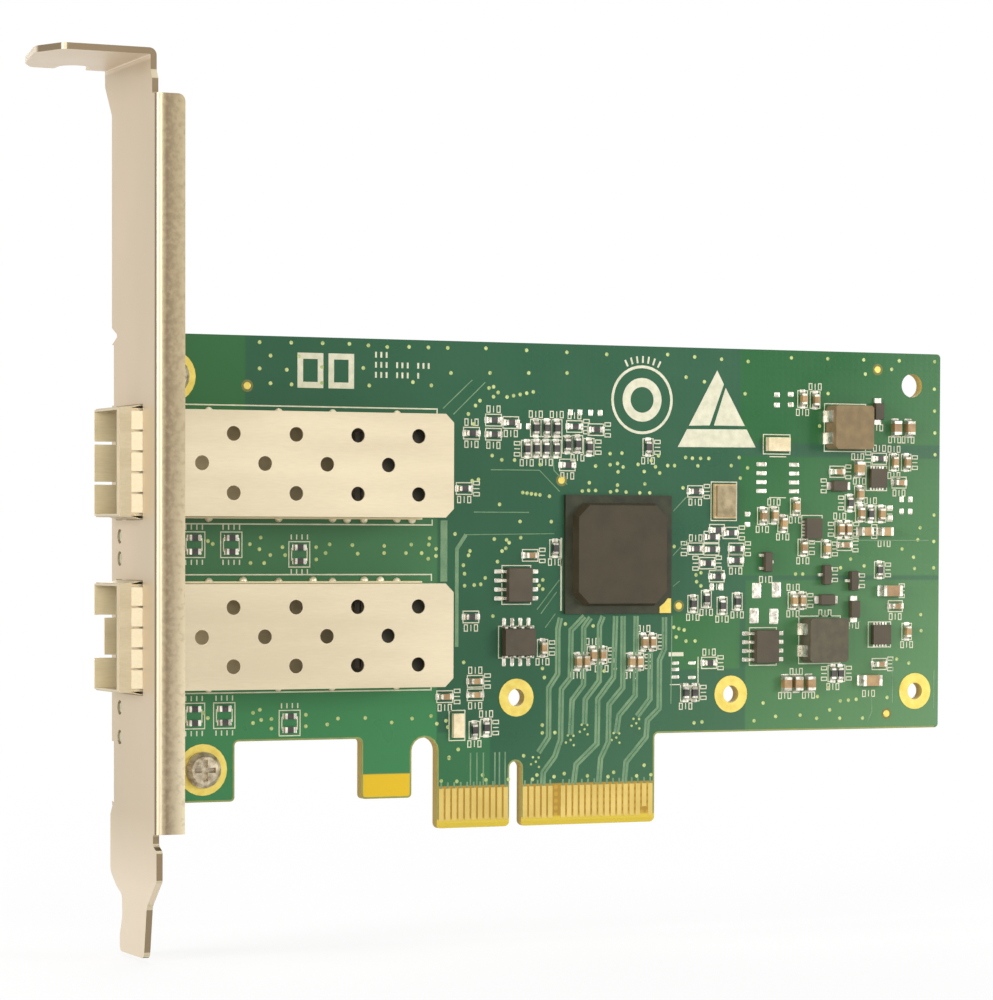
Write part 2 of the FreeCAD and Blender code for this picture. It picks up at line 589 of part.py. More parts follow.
def host_contacts(middle):
    """Solder feet of the host connector: a row in front of the moulding and a row behind it."""
    feet = []
    for edge, outward in ((HOST_FRONT_X, -1), (HOST_REAR_X, 1)):
        for index in range(CONTACT_COUNT):
            z = middle + (index - (CONTACT_COUNT - 1) / 2) * CONTACT_PITCH
            feet.append(on_board(edge + outward * CONTACT_FOOT / 2, z, CONTACT_FOOT, CONTACT_W, CONTACT_T))
    return feet


for port, port_z in PORTS.items():
    keep(port + "_cage_cover", cage_cover(port_z))
    keep(port + "_cage_base", cage_base(port_z, LATCH_SETBACKS[port]))
    keep(port + "_cage_springs", cage_springs(port_z))
    keep(port + "_host_connector", host_connector(port_z))
    keep(port + "_host_contacts", host_contacts(port_z))


# ================================================================ status lights
LED_BODY_X = (0.35, 2.4)      # from the board's left end
LED_BODY_W = 2.0
LED_LENS_R = 0.7
LED_LENS_INSET = 0.2          # of the lens behind the bracket's outer face


def status_light(z):
    """A side-looking lamp on the board's left edge: its body, and the lens that looks out of the bracket."""
    body = block(BOARD_LEFT + LED_BODY_X[0], BOARD_LEFT + LED_BODY_X[1], LED_Y - 0.7, 0,
                 z - LED_BODY_W / 2, z + LED_BODY_W / 2)
    lens = prism_x(LED_Y, z, LED_LENS_R, LED_SIDES, BRACKET_X + LED_LENS_INSET, BOARD_LEFT + LED_BODY_X[0])
    return body, lens


keep("status_light_bodies", [status_light(z)[0] for z in LED_Z])
keep("status_light_lenses", [status_light(z)[1] for z in LED_Z])


# ================================================================ controller
def controller_mould():
    """The moulded cap: corners cut at 45 degrees and sides that lean in towards the top."""
    def ring(half, level):
        cut = MOULD_CORNER
        return Part.makePolygon([
            V(CONTROLLER_X + x, level, CONTROLLER_Z + z) for x, z in (
                (-half + cut, -half), (half - cut, -half), (half, -half + cut), (half, half - cut),
                (half - cut, half), (-half + cut, half), (-half, half - cut), (-half, -half + cut),
                (-half + cut, -half))])
    low = ring(MOULD_W / 2 + MOULD_DRAFT / 2, -SUBSTRATE_T)
    high = ring(MOULD_W / 2 - MOULD_DRAFT / 2, -SUBSTRATE_T - MOULD_T)
    return Part.makeLoft([low, high], True, True)


keep("controller_substrate", on_board(CONTROLLER_X, CONTROLLER_Z, SUBSTRATE_W, SUBSTRATE_W, SUBSTRATE_T))
keep("controller_cap", controller_mould())

# ================================================================ eight-lead chips
SO_LENGTH = 4.9
SO_WIDTH = 3.9
SO_SPAN = 6.0
SO_H = 1.5
SO_LIFT = 0.1
SO_PITCH = 1.27
SO_LEAD_W = 0.42
SO_LEAD_T = 0.2
SO_LEAD_FOOT = 0.6
SO_LEAD_Y = 0.85          # where a lead leaves the body, above the board
MOULD_LEAN = 0.12


def turned(shape, x, z, upright):
    """Moves a shape made about the origin to (x, z). Upright turns its X direction to Z."""
    placed = shape.copy()
    if upright:
        placed.rotate(V(0, 0, 0), V(0, 1, 0), -90)
    placed.translate(V(x, 0, z))
    return placed


def leaning_block(along_x, along_z, height, lift, lean):
    """A moulded body about the origin, widest at its mid-height, with both halves leaning in."""
    def ring(inset, level):
        hx, hz = along_x / 2 - inset, along_z / 2 - inset
        return Part.makePolygon([V(-hx, level, -hz), V(hx, level, -hz), V(hx, level, hz), V(-hx, level, hz),
                                 V(-hx, level, -hz)])
    middle = -lift - height / 2
    upper = Part.makeLoft([ring(0, middle), ring(lean, -lift - height)], True, True)
    lower = Part.makeLoft([ring(lean, -lift), ring(0, middle)], True, True)
    return upper.fuse(lower)


def gull_wing(root, tip, exit_height, thickness, width, foot):
    """One formed lead along X, from the body's side at root down to a foot that ends at tip."""
    way = 1 if tip > root else -1
    heel = tip - way * foot
    knee = (root + heel) / 2
    under = way * thickness / 2
    y = exit_height
    path = [(root, -y), (knee - under, -y), (heel - under, 0), (tip, 0),
            (tip, -thickness), (heel, -thickness), (knee, -y - thickness), (root, -y - thickness)]
    return slab("xy", sharp(path), -width / 2, width)


def eight_lead_chip(x, z, leads_along_z):
    """Body and leads of an eight-lead small-outline chip. Its length runs square to its leads."""
    body = leaning_block(SO_WIDTH, SO_LENGTH, SO_H, SO_LIFT, MOULD_LEAN)
    leads = []
    for side in (-1, 1):
        lead = gull_wing(side * SO_WIDTH / 2, side * SO_SPAN / 2, SO_LEAD_Y - SO_LEAD_T / 2, SO_LEAD_T,
                         SO_LEAD_W, SO_LEAD_FOOT)
        for index in range(4):
            leads.append(lead.translated(V(0, 0, (index - 1.5) * SO_PITCH)))
    return turned(body, x, z, leads_along_z), [turned(lead, x, z, leads_along_z) for lead in leads]


for name, x, z, leads_along_z in (("memory_chip", 0.05, 34.3, False), ("settings_chip", 0.05, 26.2, True),
                                  ("switch_chip", 39.9, 25.2, False)):
    chip_body, chip_leads = eight_lead_chip(x, z, leads_along_z)
    keep(name, chip_body)
    keep(name + "_leads", chip_leads)

# ================================================================ power parts
INDUCTOR_W = 6.4
INDUCTOR_H = 3.0
INDUCTOR_EDGE = 0.35
TERMINAL_T = 0.2
TERMINAL_W = 1.7
TERMINAL_REACH = 2.1      # up the inductor's side
TERMINAL_FOOT = 0.6


def power_inductor(x, z):
    """A moulded choke with bevelled edges, and the two strap terminals on its left side."""
    half = INDUCTOR_W / 2
    cut = half - INDUCTOR_EDGE
    body = slab("xz", sharp([(x - half, z - cut), (x - cut, z - half), (x + cut, z - half), (x + half, z - cut),
                             (x + half, z + cut), (x + cut, z + half), (x - cut, z + half),
                             (x - half, z + cut)]), -INDUCTOR_H, INDUCTOR_H)
    straps = []
    for side in (-1, 1):
        middle = z + side * INDUCTOR_W / 4
        left = x - half
        path = [(left, -TERMINAL_REACH), (left, 0), (left - TERMINAL_FOOT, 0), (left - TERMINAL_FOOT, -TERMINAL_T),
                (left - TERMINAL_T, -TERMINAL_T), (left - TERMINAL_T, -TERMINAL_REACH)]
        straps.append(slab("xy", sharp(path), middle - TERMINAL_W / 2, TERMINAL_W))
    return body, straps


REGULATORS = ((58.9, 50.0, 2.7, 2.8, True), (48.0, 42.5, 2.6, 3.0, False), (59.6, 26.8, 3.0, 2.9, True))
REGULATOR_H = 0.9
REGULATOR_PAD_W = 0.3
REGULATOR_PAD_REACH = 0.35


def regulator(x, z, along_x, along_z, pads_on_ends):
    """A flat leadless chip, and the solder lands that show along two of its sides."""
    body = on_board(x, z, along_x, along_z, REGULATOR_H)
    pads = []
    for side in (-1, 1):
        for step in (-2, -1, 0, 1, 2):
            shift = step * 0.5
            if pads_on_ends:
                middle = z + side * (along_z + REGULATOR_PAD_REACH) / 2
                pads.append(on_board(x + shift, middle, REGULATOR_PAD_W, REGULATOR_PAD_REACH, 0.15))
            else:
                middle = x + side * (along_x + REGULATOR_PAD_REACH) / 2
                pads.append(on_board(middle, z + shift, REGULATOR_PAD_REACH, REGULATOR_PAD_W, 0.15))
    return body, pads


upper_choke, upper_straps = power_inductor(53.5, 57.4)
lower_choke, lower_straps = power_inductor(49.4, 26.1)
keep("upper_power_inductor", upper_choke)
keep("lower_power_inductor", lower_choke)
keep("inductor_terminals", upper_straps + lower_straps)

regulator_pads = []
for name, site in zip(("input_regulator", "core_regulator", "auxiliary_regulator"), REGULATORS):
    chip, pads = regulator(*site)
    keep(name, chip)
    regulator_pads += pads
keep("regulator_lands", regulator_pads)

# ================================================================ transistors and diodes
SOT_BODY = (1.3, 2.9, 1.0)
SOT_SPAN = 2.4
SOT_PITCH = 0.95
SOT_LEAD_W = 0.42
SOT_LEAD_T = 0.15
DIODE_BODY = (2.5, 1.6, 1.0)
DIODE_TERMINAL = 0.7


def transistor(x, z, pair_side):
    """A three-lead transistor, upright: two leads on pair_side (-1 is left) and one on the other."""
    body = leaning_block(SOT_BODY[0], SOT_BODY[1], SOT_BODY[2], 0.05, 0.08)
    leads = []
    for side, offsets in ((pair_side, (-SOT_PITCH, SOT_PITCH)), (-pair_side, (0,))):
        lead = gull_wing(side * SOT_BODY[0] / 2, side * SOT_SPAN / 2, 0.45, SOT_LEAD_T, SOT_LEAD_W, 0.25)
        leads += [lead.translated(V(x, 0, z + offset)) for offset in offsets]
    return body.translated(V(x, 0, z)), leads


def diode(x, z, upright):
    """A two-terminal moulded diode with a flat terminal at each end."""
    body = leaning_block(*DIODE_BODY, 0.0, 0.1)
    ends = []
    for side in (-1, 1):
        near = side * (DIODE_BODY[0] / 2)
        x0, x1 = sorted((near, near + side * DIODE_TERMINAL))
        ends.append(block(x0, x1, -0.3, 0, -DIODE_BODY[1] * 0.35, DIODE_BODY[1] * 0.35))
    return turned(body, x, z, upright), [turned(end, x, z, upright) for end in ends]


transistor_bodies, transistor_leads = [], []
for x, z, pair_side in ((40.3, 37.6, -1), (50.2, 35.7, 1), (54.8, 34.8, 1)):
    body, leads = transistor(x, z, pair_side)
    transistor_bodies.append(body)
    transistor_leads += leads
keep("transistors", transistor_bodies)
keep("transistor_leads", transistor_leads)

diode_bodies, diode_ends = [], []
for x, z, upright in ((58.9, 59.9, True), (52.3, 48.8, False), (50.3, 32.0, False), (55.0, 30.6, True)):
    body, ends = diode(x, z, upright)
    diode_bodies.append(body)
    diode_ends += ends
keep("diodes", diode_bodies)
keep("diode_terminals", diode_ends)

# ================================================================ crystals and filter
CRYSTAL = (33.3, 46.4)       # middle of the main crystal
CRYSTAL_W = 3.6
CRYSTAL_L = 5.0
CRYSTAL_BASE_H = 0.5
LID_INSET = 0.3              # of the crystal's lid within its base
LID_H = 0.35
keep("main_crystal_base", on_board(*CRYSTAL, CRYSTAL_W, CRYSTAL_L, CRYSTAL_BASE_H))
keep("main_crystal_lid", on_board(*CRYSTAL, CRYSTAL_W - 2 * LID_INSET, CRYSTAL_L - 2 * LID_INSET, LID_H,
                                  CRYSTAL_BASE_H))
SMALL_CRYSTAL = (-9.1, 14.5)
SMALL_CRYSTAL_SIZE = (1.6, 3.4, 0.8)
LINE_FILTER = (42.0, 54.8)
LINE_FILTER_SIZE = (3.6, 2.0, 1.0)
keep("small_crystal", on_board(*SMALL_CRYSTAL, *SMALL_CRYSTAL_SIZE))
keep("line_filter", on_board(*LINE_FILTER, *LINE_FILTER_SIZE))

# ================================================================ small two-terminal parts
# size name: length, width, height of a capacitor, height of a resistor, length of each end cap.
# The smallest size is one block from end to end, except beside the cages.
CHIP_SIZES = {
    "0603": (1.6, 0.8, 0.8, 0.45, 0),
    "0603 capped": (1.6, 0.8, 0.8, 0.45, 0.35),
    "0805": (2.0, 1.25, 1.1, 0.5, 0.4),
    "1206": (3.2, 1.6, 1.3, 0.55, 0.5),
}


def chip_part(x, z, size, upright, is_resistor):
    """A chip capacitor or resistor: one fired block, with its end caps where they are separate pieces."""
    length, width, tall, flat, cap = CHIP_SIZES[size]
    height = flat if is_resistor else tall
    body = on_board(0, 0, length - 2 * cap, width, height)
    ends = [on_board(side * (length - cap) / 2, 0, cap, width, height) for side in (-1, 1) if cap]
    return turned(body, x, z, upright), [turned(end, x, z, upright) for end in ends]


ACROSS, UPRIGHT = False, True
CAPACITORS = [
    # size, way, places
    ("0603", UPRIGHT, [(46.3, 61.5), (48.4, 61.4), (61.9, 52.4), (64.0, 52.4), (56.0, 47.6), (56.2, 44.8),
                       (59.7, 44.7), (52.7, 42.4), (54.0, 42.4), (46.5, 39.7), (50.4, 39.5), (45.2, 45.7),
                       (43.1, 43.2), (39.7, 44.3), (41.6, 44.4), (44.9, 31.9), (46.3, 31.9), (64.3, 27.2),
                       (4.2, 25.3)]),
    ("0603", ACROSS, [(52.2, 50.9), (62.8, 49.4), (53.5, 40.1), (62.3, 31.0), (59.6, 22.4), (2.2, 38.5),
                      (-6.3, 20.7), (-6.3, 18.8), (-11.0, 18.6)]),
    ("0603", UPRIGHT, [(9.7, 23.3), (11.0, 23.3), (12.1, 24.2), (13.6, 24.2), (18.2, 23.2), (19.5, 23.2),
                       (20.3, 26.0), (21.6, 26.0)]),
    ("0805", UPRIGHT, [(62.0, 57.5), (64.3, 57.5), (55.7, 51.4), (43.6, 19.7), (45.5, 19.7), (47.6, 19.7)]),
    ("0805", ACROSS, [(56.9, 42.1), (60.3, 42.1)]),
    ("1206", ACROSS, [(61.2, 33.3), (57.8, 20.0)]),
]
RESISTORS = [
    ("0603", UPRIGHT, [(3.0, 56.6), (4.7, 56.6), (6.3, 56.6), (8.0, 54.3), (9.6, 54.4), (1.6, 53.6), (3.1, 53.7),
                       (4.6, 53.7), (6.2, 53.7), (11.4, 54.0), (20.9, 54.1), (6.1, 39.5),
                       (54.4, 46.3), (57.9, 44.7), (28.3, 31.5), (30.5, 32.2), (33.1, 31.2), (35.6, 31.8),
                       (-6.4, 13.8), (-4.6, 14.1), (27.2, 18.6), (28.6, 18.6), (51.7, 21.1), (52.9, 21.1),
                       (59.5, 36.4)]),
    ("0603", ACROSS, [(-3.6, 57.6), (-3.6, 55.6), (-0.9, 57.3), (9.1, 56.9), (-7.0, 55.7), (12.5, 56.5),
                      (8.0, 51.4), (-8.1, 47.9), (-7.0, 29.8), (59.4, 52.9), (28.6, 47.8),
                      (32.2, 42.2), (34.4, 41.8), (31.3, 41.2), (31.3, 39.4), (35.4, 39.5), (35.3, 37.8),
                      (32.2, 35.5), (28.7, 39.5), (30.6, 37.4), (31.0, 22.9)]),
]


def chip_group(table, is_resistor):
    """All bodies and all end caps of one table of places."""
    bodies, ends = [], []
    for size, upright, places in table:
        for x, z in places:
            body, caps = chip_part(x, z, size, upright, is_resistor)
            bodies.append(body)
            ends += caps
    return bodies, ends


small_rows = [row for row in CAPACITORS if row[0] == "0603"]
large_rows = [row for row in CAPACITORS if row[0] != "0603"]
for name, table, is_resistor in (("small_capacitors", small_rows, False), ("large_capacitors", large_rows, False),
                                 ("resistors", RESISTORS, True)):
    group_bodies, group_ends = chip_group(table, is_resistor)
    keep(name, group_bodies)
    if group_ends:
        keep(name + "_ends", group_ends)

# Small arrays beside the cages: two resistors each, one above the other
ARRAY_PLACES = [(-48.4, 39.9), (-43.0, 39.9), (-33.0, 38.6), (-48.4, 16.5), (-44.0, 16.5), (-34.4, 15.3)]
ARRAY_STEP = 1.9
array_rows = [(x, z + side * ARRAY_STEP / 2) for x, z in ARRAY_PLACES for side in (-1, 1)]
array_bodies, array_lands = chip_group([("0603 capped", ACROSS, array_rows)], True)
keep("resistor_arrays", array_bodies)
keep("resistor_array_lands", array_lands)

# ================================================================ write
for name, shape in nodes.items():
    shape.exportStep("parts/" + name + ".step")
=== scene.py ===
# %% [markdown]
# # A dual-port network card, dressed on its CAD frame
#
# The card is a green circuit board that plugs into a slot by the gold contacts along its lower edge. A
# steel bracket closes its left end, two pressed steel cages hold the optical modules, and a large black
# controller sits right of them. The CAD model already has the solid parts in place, so this lesson does
# two things: it gives each part a finish, and it adds what is too thin or too small for CAD, such as
# copper tracks, solder and the white ink. All positions are in metres once they reach Blender, and in
# millimetres in the lists below, because that is how a board is drawn.

# %% Load the frame
import bpy
import bmesh
import json
import math
import numpy as np
from mathutils import Matrix, Vector

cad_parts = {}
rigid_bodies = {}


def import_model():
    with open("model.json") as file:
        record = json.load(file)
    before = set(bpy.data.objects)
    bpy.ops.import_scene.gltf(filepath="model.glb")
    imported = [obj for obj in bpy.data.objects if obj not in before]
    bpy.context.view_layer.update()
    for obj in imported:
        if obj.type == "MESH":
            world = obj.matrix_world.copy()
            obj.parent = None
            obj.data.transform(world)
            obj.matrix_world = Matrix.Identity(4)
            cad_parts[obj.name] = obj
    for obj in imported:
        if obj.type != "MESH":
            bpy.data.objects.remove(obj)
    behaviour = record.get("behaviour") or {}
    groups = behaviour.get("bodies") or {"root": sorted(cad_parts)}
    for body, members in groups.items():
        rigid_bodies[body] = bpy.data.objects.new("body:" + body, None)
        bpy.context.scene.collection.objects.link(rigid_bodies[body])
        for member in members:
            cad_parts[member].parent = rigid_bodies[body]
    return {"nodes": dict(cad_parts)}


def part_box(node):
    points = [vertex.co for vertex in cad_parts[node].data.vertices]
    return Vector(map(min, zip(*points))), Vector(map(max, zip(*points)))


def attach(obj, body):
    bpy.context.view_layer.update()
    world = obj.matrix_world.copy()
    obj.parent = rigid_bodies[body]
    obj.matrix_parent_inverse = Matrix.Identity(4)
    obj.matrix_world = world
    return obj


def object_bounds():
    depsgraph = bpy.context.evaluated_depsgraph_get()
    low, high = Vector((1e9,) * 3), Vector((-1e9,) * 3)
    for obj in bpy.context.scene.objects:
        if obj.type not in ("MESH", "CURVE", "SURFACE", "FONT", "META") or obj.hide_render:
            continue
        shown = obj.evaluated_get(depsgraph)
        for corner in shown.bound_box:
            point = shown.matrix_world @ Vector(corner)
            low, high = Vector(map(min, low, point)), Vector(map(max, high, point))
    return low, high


for leftover in list(bpy.data.objects):
    bpy.data.objects.remove(leftover)
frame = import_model()
nodes = frame["nodes"]
cad_box = [list(corner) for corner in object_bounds()]
print("CAD parts:", len(nodes), "box in metres:", cad_box)

# %% [markdown]
# ## The camera
#
# A product picture of a card is taken with a long lens from a little to one side, so that the face of the
# bracket and the face of the board both show. The camera is turned 23.6 degrees to the right, almost
# level. A slight shift of the lens keeps the upright edges upright, as an architect's camera does; tilting
# the whole camera would make the bracket lean.

# %% Place the camera
CAMERA_PLACE = Vector((-0.2102, -0.4533, 0.0404))
CAMERA_TURN, CAMERA_TILT, CAMERA_ROLL = (math.radians(a) for a in (23.59, -1.785, 0.164))

ahead = Vector((math.sin(CAMERA_TURN) * math.cos(CAMERA_TILT),
                math.cos(CAMERA_TURN) * math.cos(CAMERA_TILT), math.sin(CAMERA_TILT)))
level_right = Vector((math.cos(CAMERA_TURN), -math.sin(CAMERA_TURN), 0))
level_up = level_right.cross(ahead)
right = level_right * math.cos(CAMERA_ROLL) + level_up * math.sin(CAMERA_ROLL)
up = level_up * math.cos(CAMERA_ROLL) - level_right * math.sin(CAMERA_ROLL)

camera_data = bpy.data.cameras.new("camera")
camera_data.lens = 126.7
camera_data.sensor_width = 36
camera_data.shift_x = 0.0598
camera_data.shift_y = 0.1514
camera_data.clip_start = 0.01
camera = bpy.data.objects.new("camera", camera_data)
camera.matrix_world = Matrix.Translation(CAMERA_PLACE) @ Matrix((right, up, -ahead)).transposed().to_4x4()
bpy.context.scene.collection.objects.link(camera)
bpy.context.scene.camera = camera
print("camera at", tuple(round(v, 3) for v in CAMERA_PLACE))
print("looking along", tuple(round(v, 3) for v in ahead))

# %% [markdown]
# ## Light, floor and background
#
# Small shiny parts look best in a tent of soft light. The key lamp stands to the right of the camera, a
# little above the card, so its light runs into the strips between the cages and the chips shade their
# left sides. A weaker one behind the camera fills the shadows, one at the left lights the bracket's face,
# one hangs overhead for the upper edges, and one at the back serves the other views. The world is white
# wherever it is seen, whether straight or in a reflection, and weaker as a source of light, so that
# shadows under the parts stay.

# %% Light the stage
CENTRE = Vector([(a + b) / 2 for a, b in zip(*cad_box)])


def soft_lamp(name, place, size, power):
    """A square soft lamp at a place, turned towards the middle of the card."""
    data = bpy.data.lights.new(name, "AREA")
    data.size = size
    data.energy = power
    lamp = bpy.data.objects.new(name, data)
    towards = CENTRE - Vector(place)
    lamp.matrix_world = Matrix.Translation(place) @ towards.to_track_quat("-Z", "Y").to_matrix().to_4x4()
    bpy.context.scene.collection.objects.link(lamp)


soft_lamp("key_lamp", (0.95, -0.72, 0.22), 0.44, 7.0)
soft_lamp("fill_lamp", (-0.35, -1.15, 0.22), 0.44, 5.0)
soft_lamp("bracket_lamp", (-1.10, -0.40, 0.26), 0.50, 8.0)
soft_lamp("top_lamp", (0.05, 0.00, 1.20), 0.60, 4.0)
soft_lamp("back_lamp", (0.35, 1.15, 0.60), 0.80, 7.0)

world = bpy.data.worlds.new("studio")
bpy.context.scene.world = world
world.use_nodes = True
world_nodes = world.node_tree.nodes
world_links = world.node_tree.links
backdrop = world_nodes["Background"]
backdrop.inputs["Color"].default_value = (1, 1, 1, 1)


def seen_directly(tree):
    """One where a ray comes from the camera, a mirror or glass, and nought where it gathers light."""
    path = tree.nodes.new("ShaderNodeLightPath")
    total = path.outputs["Is Camera Ray"]
    for kind in ("Is Glossy Ray", "Is Transmission Ray"):
        larger = tree.nodes.new("ShaderNodeMath")
        larger.operation = "MAXIMUM"
        tree.links.new(total, larger.inputs[0])
        tree.links.new(path.outputs[kind], larger.inputs[1])
        total = larger.outputs[0]
    return total


WORLD_FILL = 0.42
strength = world_nodes.new("ShaderNodeMapRange")
strength.inputs["To Min"].default_value = WORLD_FILL
strength.inputs["To Max"].default_value = 1.0
world_links.new(seen_directly(world.node_tree), strength.inputs["Value"])
world_links.new(strength.outputs[0], backdrop.inputs["Strength"])
bpy.context.scene.view_settings.view_transform = "Standard"

# %% [markdown]
# ## Helpers for surfaces
#
# Nearly everything on a board is a loop of points carried from station to station: a solder pad is a
# rounded rectangle that shrinks as it rises, a track is a flat-topped bar that follows a line, a via is a
# circle with a dimple. One function skins such loops, for one shape or for hundreds of copies at once, so
# numpy does the arithmetic on whole arrays and Blender receives a finished mesh.

# %% Skin loops of points
def skin(loops, ring=False):
    """Points and faces of lofts. loops has the axes copy, station, place round the loop and xyz.

    Neighbouring loops are joined by four-sided faces. A lofted bar is closed by its first and last
    loop, and a ring is closed by joining its last station to its first.
    """
    copies, stations, around, _ = loops.shape
    index = np.arange(copies * stations * around).reshape(copies, stations, around)
    following = np.roll(index, -1, axis=1) if ring else index[:, 1:]
    here = index if ring else index[:, :-1]
    quads = np.stack([here, following, np.roll(following, -1, axis=2), np.roll(here, -1, axis=2)], axis=-1)
    faces = quads.reshape(-1, 4).tolist()
    if not ring:
        faces += index[:, 0].tolist() + index[:, -1, ::-1].tolist()
    return loops.reshape(-1, 3), faces


def piece(name, shapes, finish):
    """One object from a list of (points in millimetres, faces). It rides on the card's only body."""
    points, faces, start = [], [], 0
    for shape_points, shape_faces in shapes:
        points.append(shape_points)
        faces += [[start + corner for corner in face] for face in shape_faces]
        start += len(shape_points)
    mesh = bpy.data.meshes.new(name)
    mesh.from_pydata((np.concatenate(points) / 1000).tolist(), [], faces)
    bm = bmesh.new()
    bm.from_mesh(mesh)
    bmesh.ops.recalc_face_normals(bm, faces=bm.faces)
    bm.to_mesh(mesh)
    bm.free()
    mesh.materials.append(finish)
    thing = bpy.data.objects.new(name, mesh)
    bpy.context.scene.collection.objects.link(thing)
    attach(thing, "root")
    print(f"{name}: {len(mesh.polygons)} faces")


def rounded(half_x, half_z, radius, steps=3):
    """Loops of a rectangle whose corners are quarter circles.

    Each corner's centre lies one radius inside both sides, and the cosine and sine of the turning
    angle, times the radius, are added to it. The half sizes may be arrays, and give one loop each.
    """
    turn = np.radians(np.concatenate([np.linspace(q, q + 90, steps) for q in (0, 90, 180, 270)]))
    side_x = np.repeat([1, -1, -1, 1], steps)
    side_z = np.repeat([1, 1, -1, -1], steps)
    a, b, r = (np.asarray(v, float)[..., None] for v in (half_x, half_z, radius))
    return side_x * (a - r) + r * np.cos(turn), side_z * (b - r) + r * np.sin(turn)


def on_board(x, z, rise, back=False):
    """Stacks board coordinates into xyz: rise is measured outwards from the front or the back face."""
    y = THICKNESS + rise if back else -rise
    return np.stack(np.broadcast_arrays(x, y, z), axis=-1).astype(float)


low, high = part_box("board")
THICKNESS = high.y * 1000
SUNK = -0.01               # thin shapes start this far under the face, so no gap shows
print("board is", round(THICKNESS, 2), "mm thick")

# %% Bars that follow a line
def bar(path, width, rise, shift=0.0, ring=False, back=False):
    """A low flat-topped bar along a line of (x, z) points.

    At each corner the bar's half width runs along the mean of the two sides' normals, lengthened by
    one over the cosine of half the bend, so both straight runs keep their width. shift moves the
    whole bar sideways by that rule. The section is a trapezium with its base just below the face.
    """
    p = np.asarray(path, float)
    step = np.roll(p, -1, axis=0) - p
    if not ring:
        step[-1] = step[-2]
    step /= np.linalg.norm(step, axis=1, keepdims=True)
    normal = np.stack([-step[:, 1], step[:, 0]], axis=1)
    before = np.roll(normal, 1, axis=0)
    if not ring:
        before[0] = normal[0]
    mitre = (normal + before) / (1 + (normal * before).sum(axis=1, keepdims=True))
    slope = min(0.3 * width, rise)
    across = np.array([-width / 2, slope - width / 2, width / 2 - slope, width / 2]) + shift
    place = p[:, None, :] + mitre[:, None, :] * across[None, :, None]
    height = np.array([SUNK, rise, rise, SUNK])
    return skin(on_board(place[..., 0], place[..., 1], height, back)[None], ring)


def flat_shape(corners, rise):
    """A flat shape of (x, z) corners that stands a hair above the board, with upright sides."""
    p = np.asarray(corners, float)
    loops = on_board(p[None, :, 0], p[None, :, 1], np.array([[SUNK], [rise]]))
    return skin(loops[None])


def dots(places, radius, rise, dimple=0.5, sides=10, back=False):
    """Round dots: circles that rise to a shoulder at 0.8 of the radius, then sink towards the middle."""
    p = np.asarray(places, float).reshape(-1, 2)
    turn = np.arange(sides) * 2 * math.pi / sides
    reach = np.array([1.0, 0.8, 0.45, 0.2]) * radius
    height = np.array([SUNK, rise, rise, rise * (1 - dimple)])
    x = p[:, 0, None, None] + reach[None, :, None] * np.cos(turn)
    z = p[:, 1, None, None] + reach[None, :, None] * np.sin(turn)
    return skin(on_board(x, z, height[None, :, None], back))


def domes(places, radius, rise, sides=12, back=False):
    """Solder domes: circles whose radius and height follow the cosine and sine of one quarter turn."""
    p = np.asarray(places, float).reshape(-1, 2)
    turn = np.arange(sides) * 2 * math.pi / sides
    climb = np.radians(np.array([-10, 15, 40, 62, 82]))
    x = p[:, 0, None, None] + radius * np.cos(climb)[None, :, None] * np.cos(turn)
    z = p[:, 1, None, None] + radius * np.cos(climb)[None, :, None] * np.sin(turn)
    return skin(on_board(x, z, rise * np.sin(climb)[None, :, None], back))


def pads(places, rise, corner=0.12):
    """Solder lands: rounded rectangles (x, z, width, height) that shrink by three tenths as they rise."""
    p = np.asarray(places, float).reshape(-1, 4)
    shrink = np.array([1.0, 0.93, 0.70])
    height = np.array([SUNK, 0.6 * rise, rise])
    dx, dz = rounded(p[:, 2, None] / 2 * shrink, p[:, 3, None] / 2 * shrink, corner * shrink)
    x = p[:, 0, None, None] + dx
    z = p[:, 1, None, None] + dz
    return skin(on_board(x, z, height[None, :, None]))


print("points in a straight bar:", len(bar([(0, 0), (1, 0)], 0.2, 0.03)[0]))


# %% Read the small parts' places from the CAD meshes
def solids_in(node):
    """The low and high corners, in millimetres, of every separate solid in a CAD node.

    Points at one place get one number. Every point then takes the lowest number among its
    triangle's corners again and again, until each solid has one number all over.
    """
    mesh = nodes[node].data
    points = np.empty(len(mesh.vertices) * 3)
    mesh.vertices.foreach_get("co", points)
    points = points.reshape(-1, 3) * 1000
    corners = np.empty(len(mesh.polygons) * 3, dtype=int)
    mesh.polygons.foreach_get("vertices", corners)
    places, same = np.unique(points.round(3), axis=0, return_inverse=True)
    triangles = same.ravel()[corners.reshape(-1, 3)]
    label = np.arange(len(places))
    while True:
        lowest = label[triangles].min(axis=1)
        spread = label.copy()
        np.minimum.at(spread, triangles.ravel(), np.repeat(lowest, 3))
        if (spread == label).all():
            break
        label = spread
    groups = [places[label == value] for value in np.unique(label)]
    return np.array([[g.min(axis=0), g.max(axis=0)] for g in groups])


small_parts = np.concatenate([solids_in("small_capacitors"), solids_in("resistors")])
large_ends = solids_in("large_capacitors_ends")
print("small two-ended parts:", len(small_parts), "large terminations:", len(large_ends))

# %% [markdown]
# ## Finishes
#
# No real surface is one flat colour. Rolled steel has a fine grain and slow changes of tone, moulded
# plastic has a fine grit, and solder is bright with dull patches. Each finish below therefore mixes two
# near colours by a noise, lets the roughness wander between two values, and adds a small bump. The noise
# reads Object coordinates scaled to millimetres, so its sizes can be given as they would be measured.

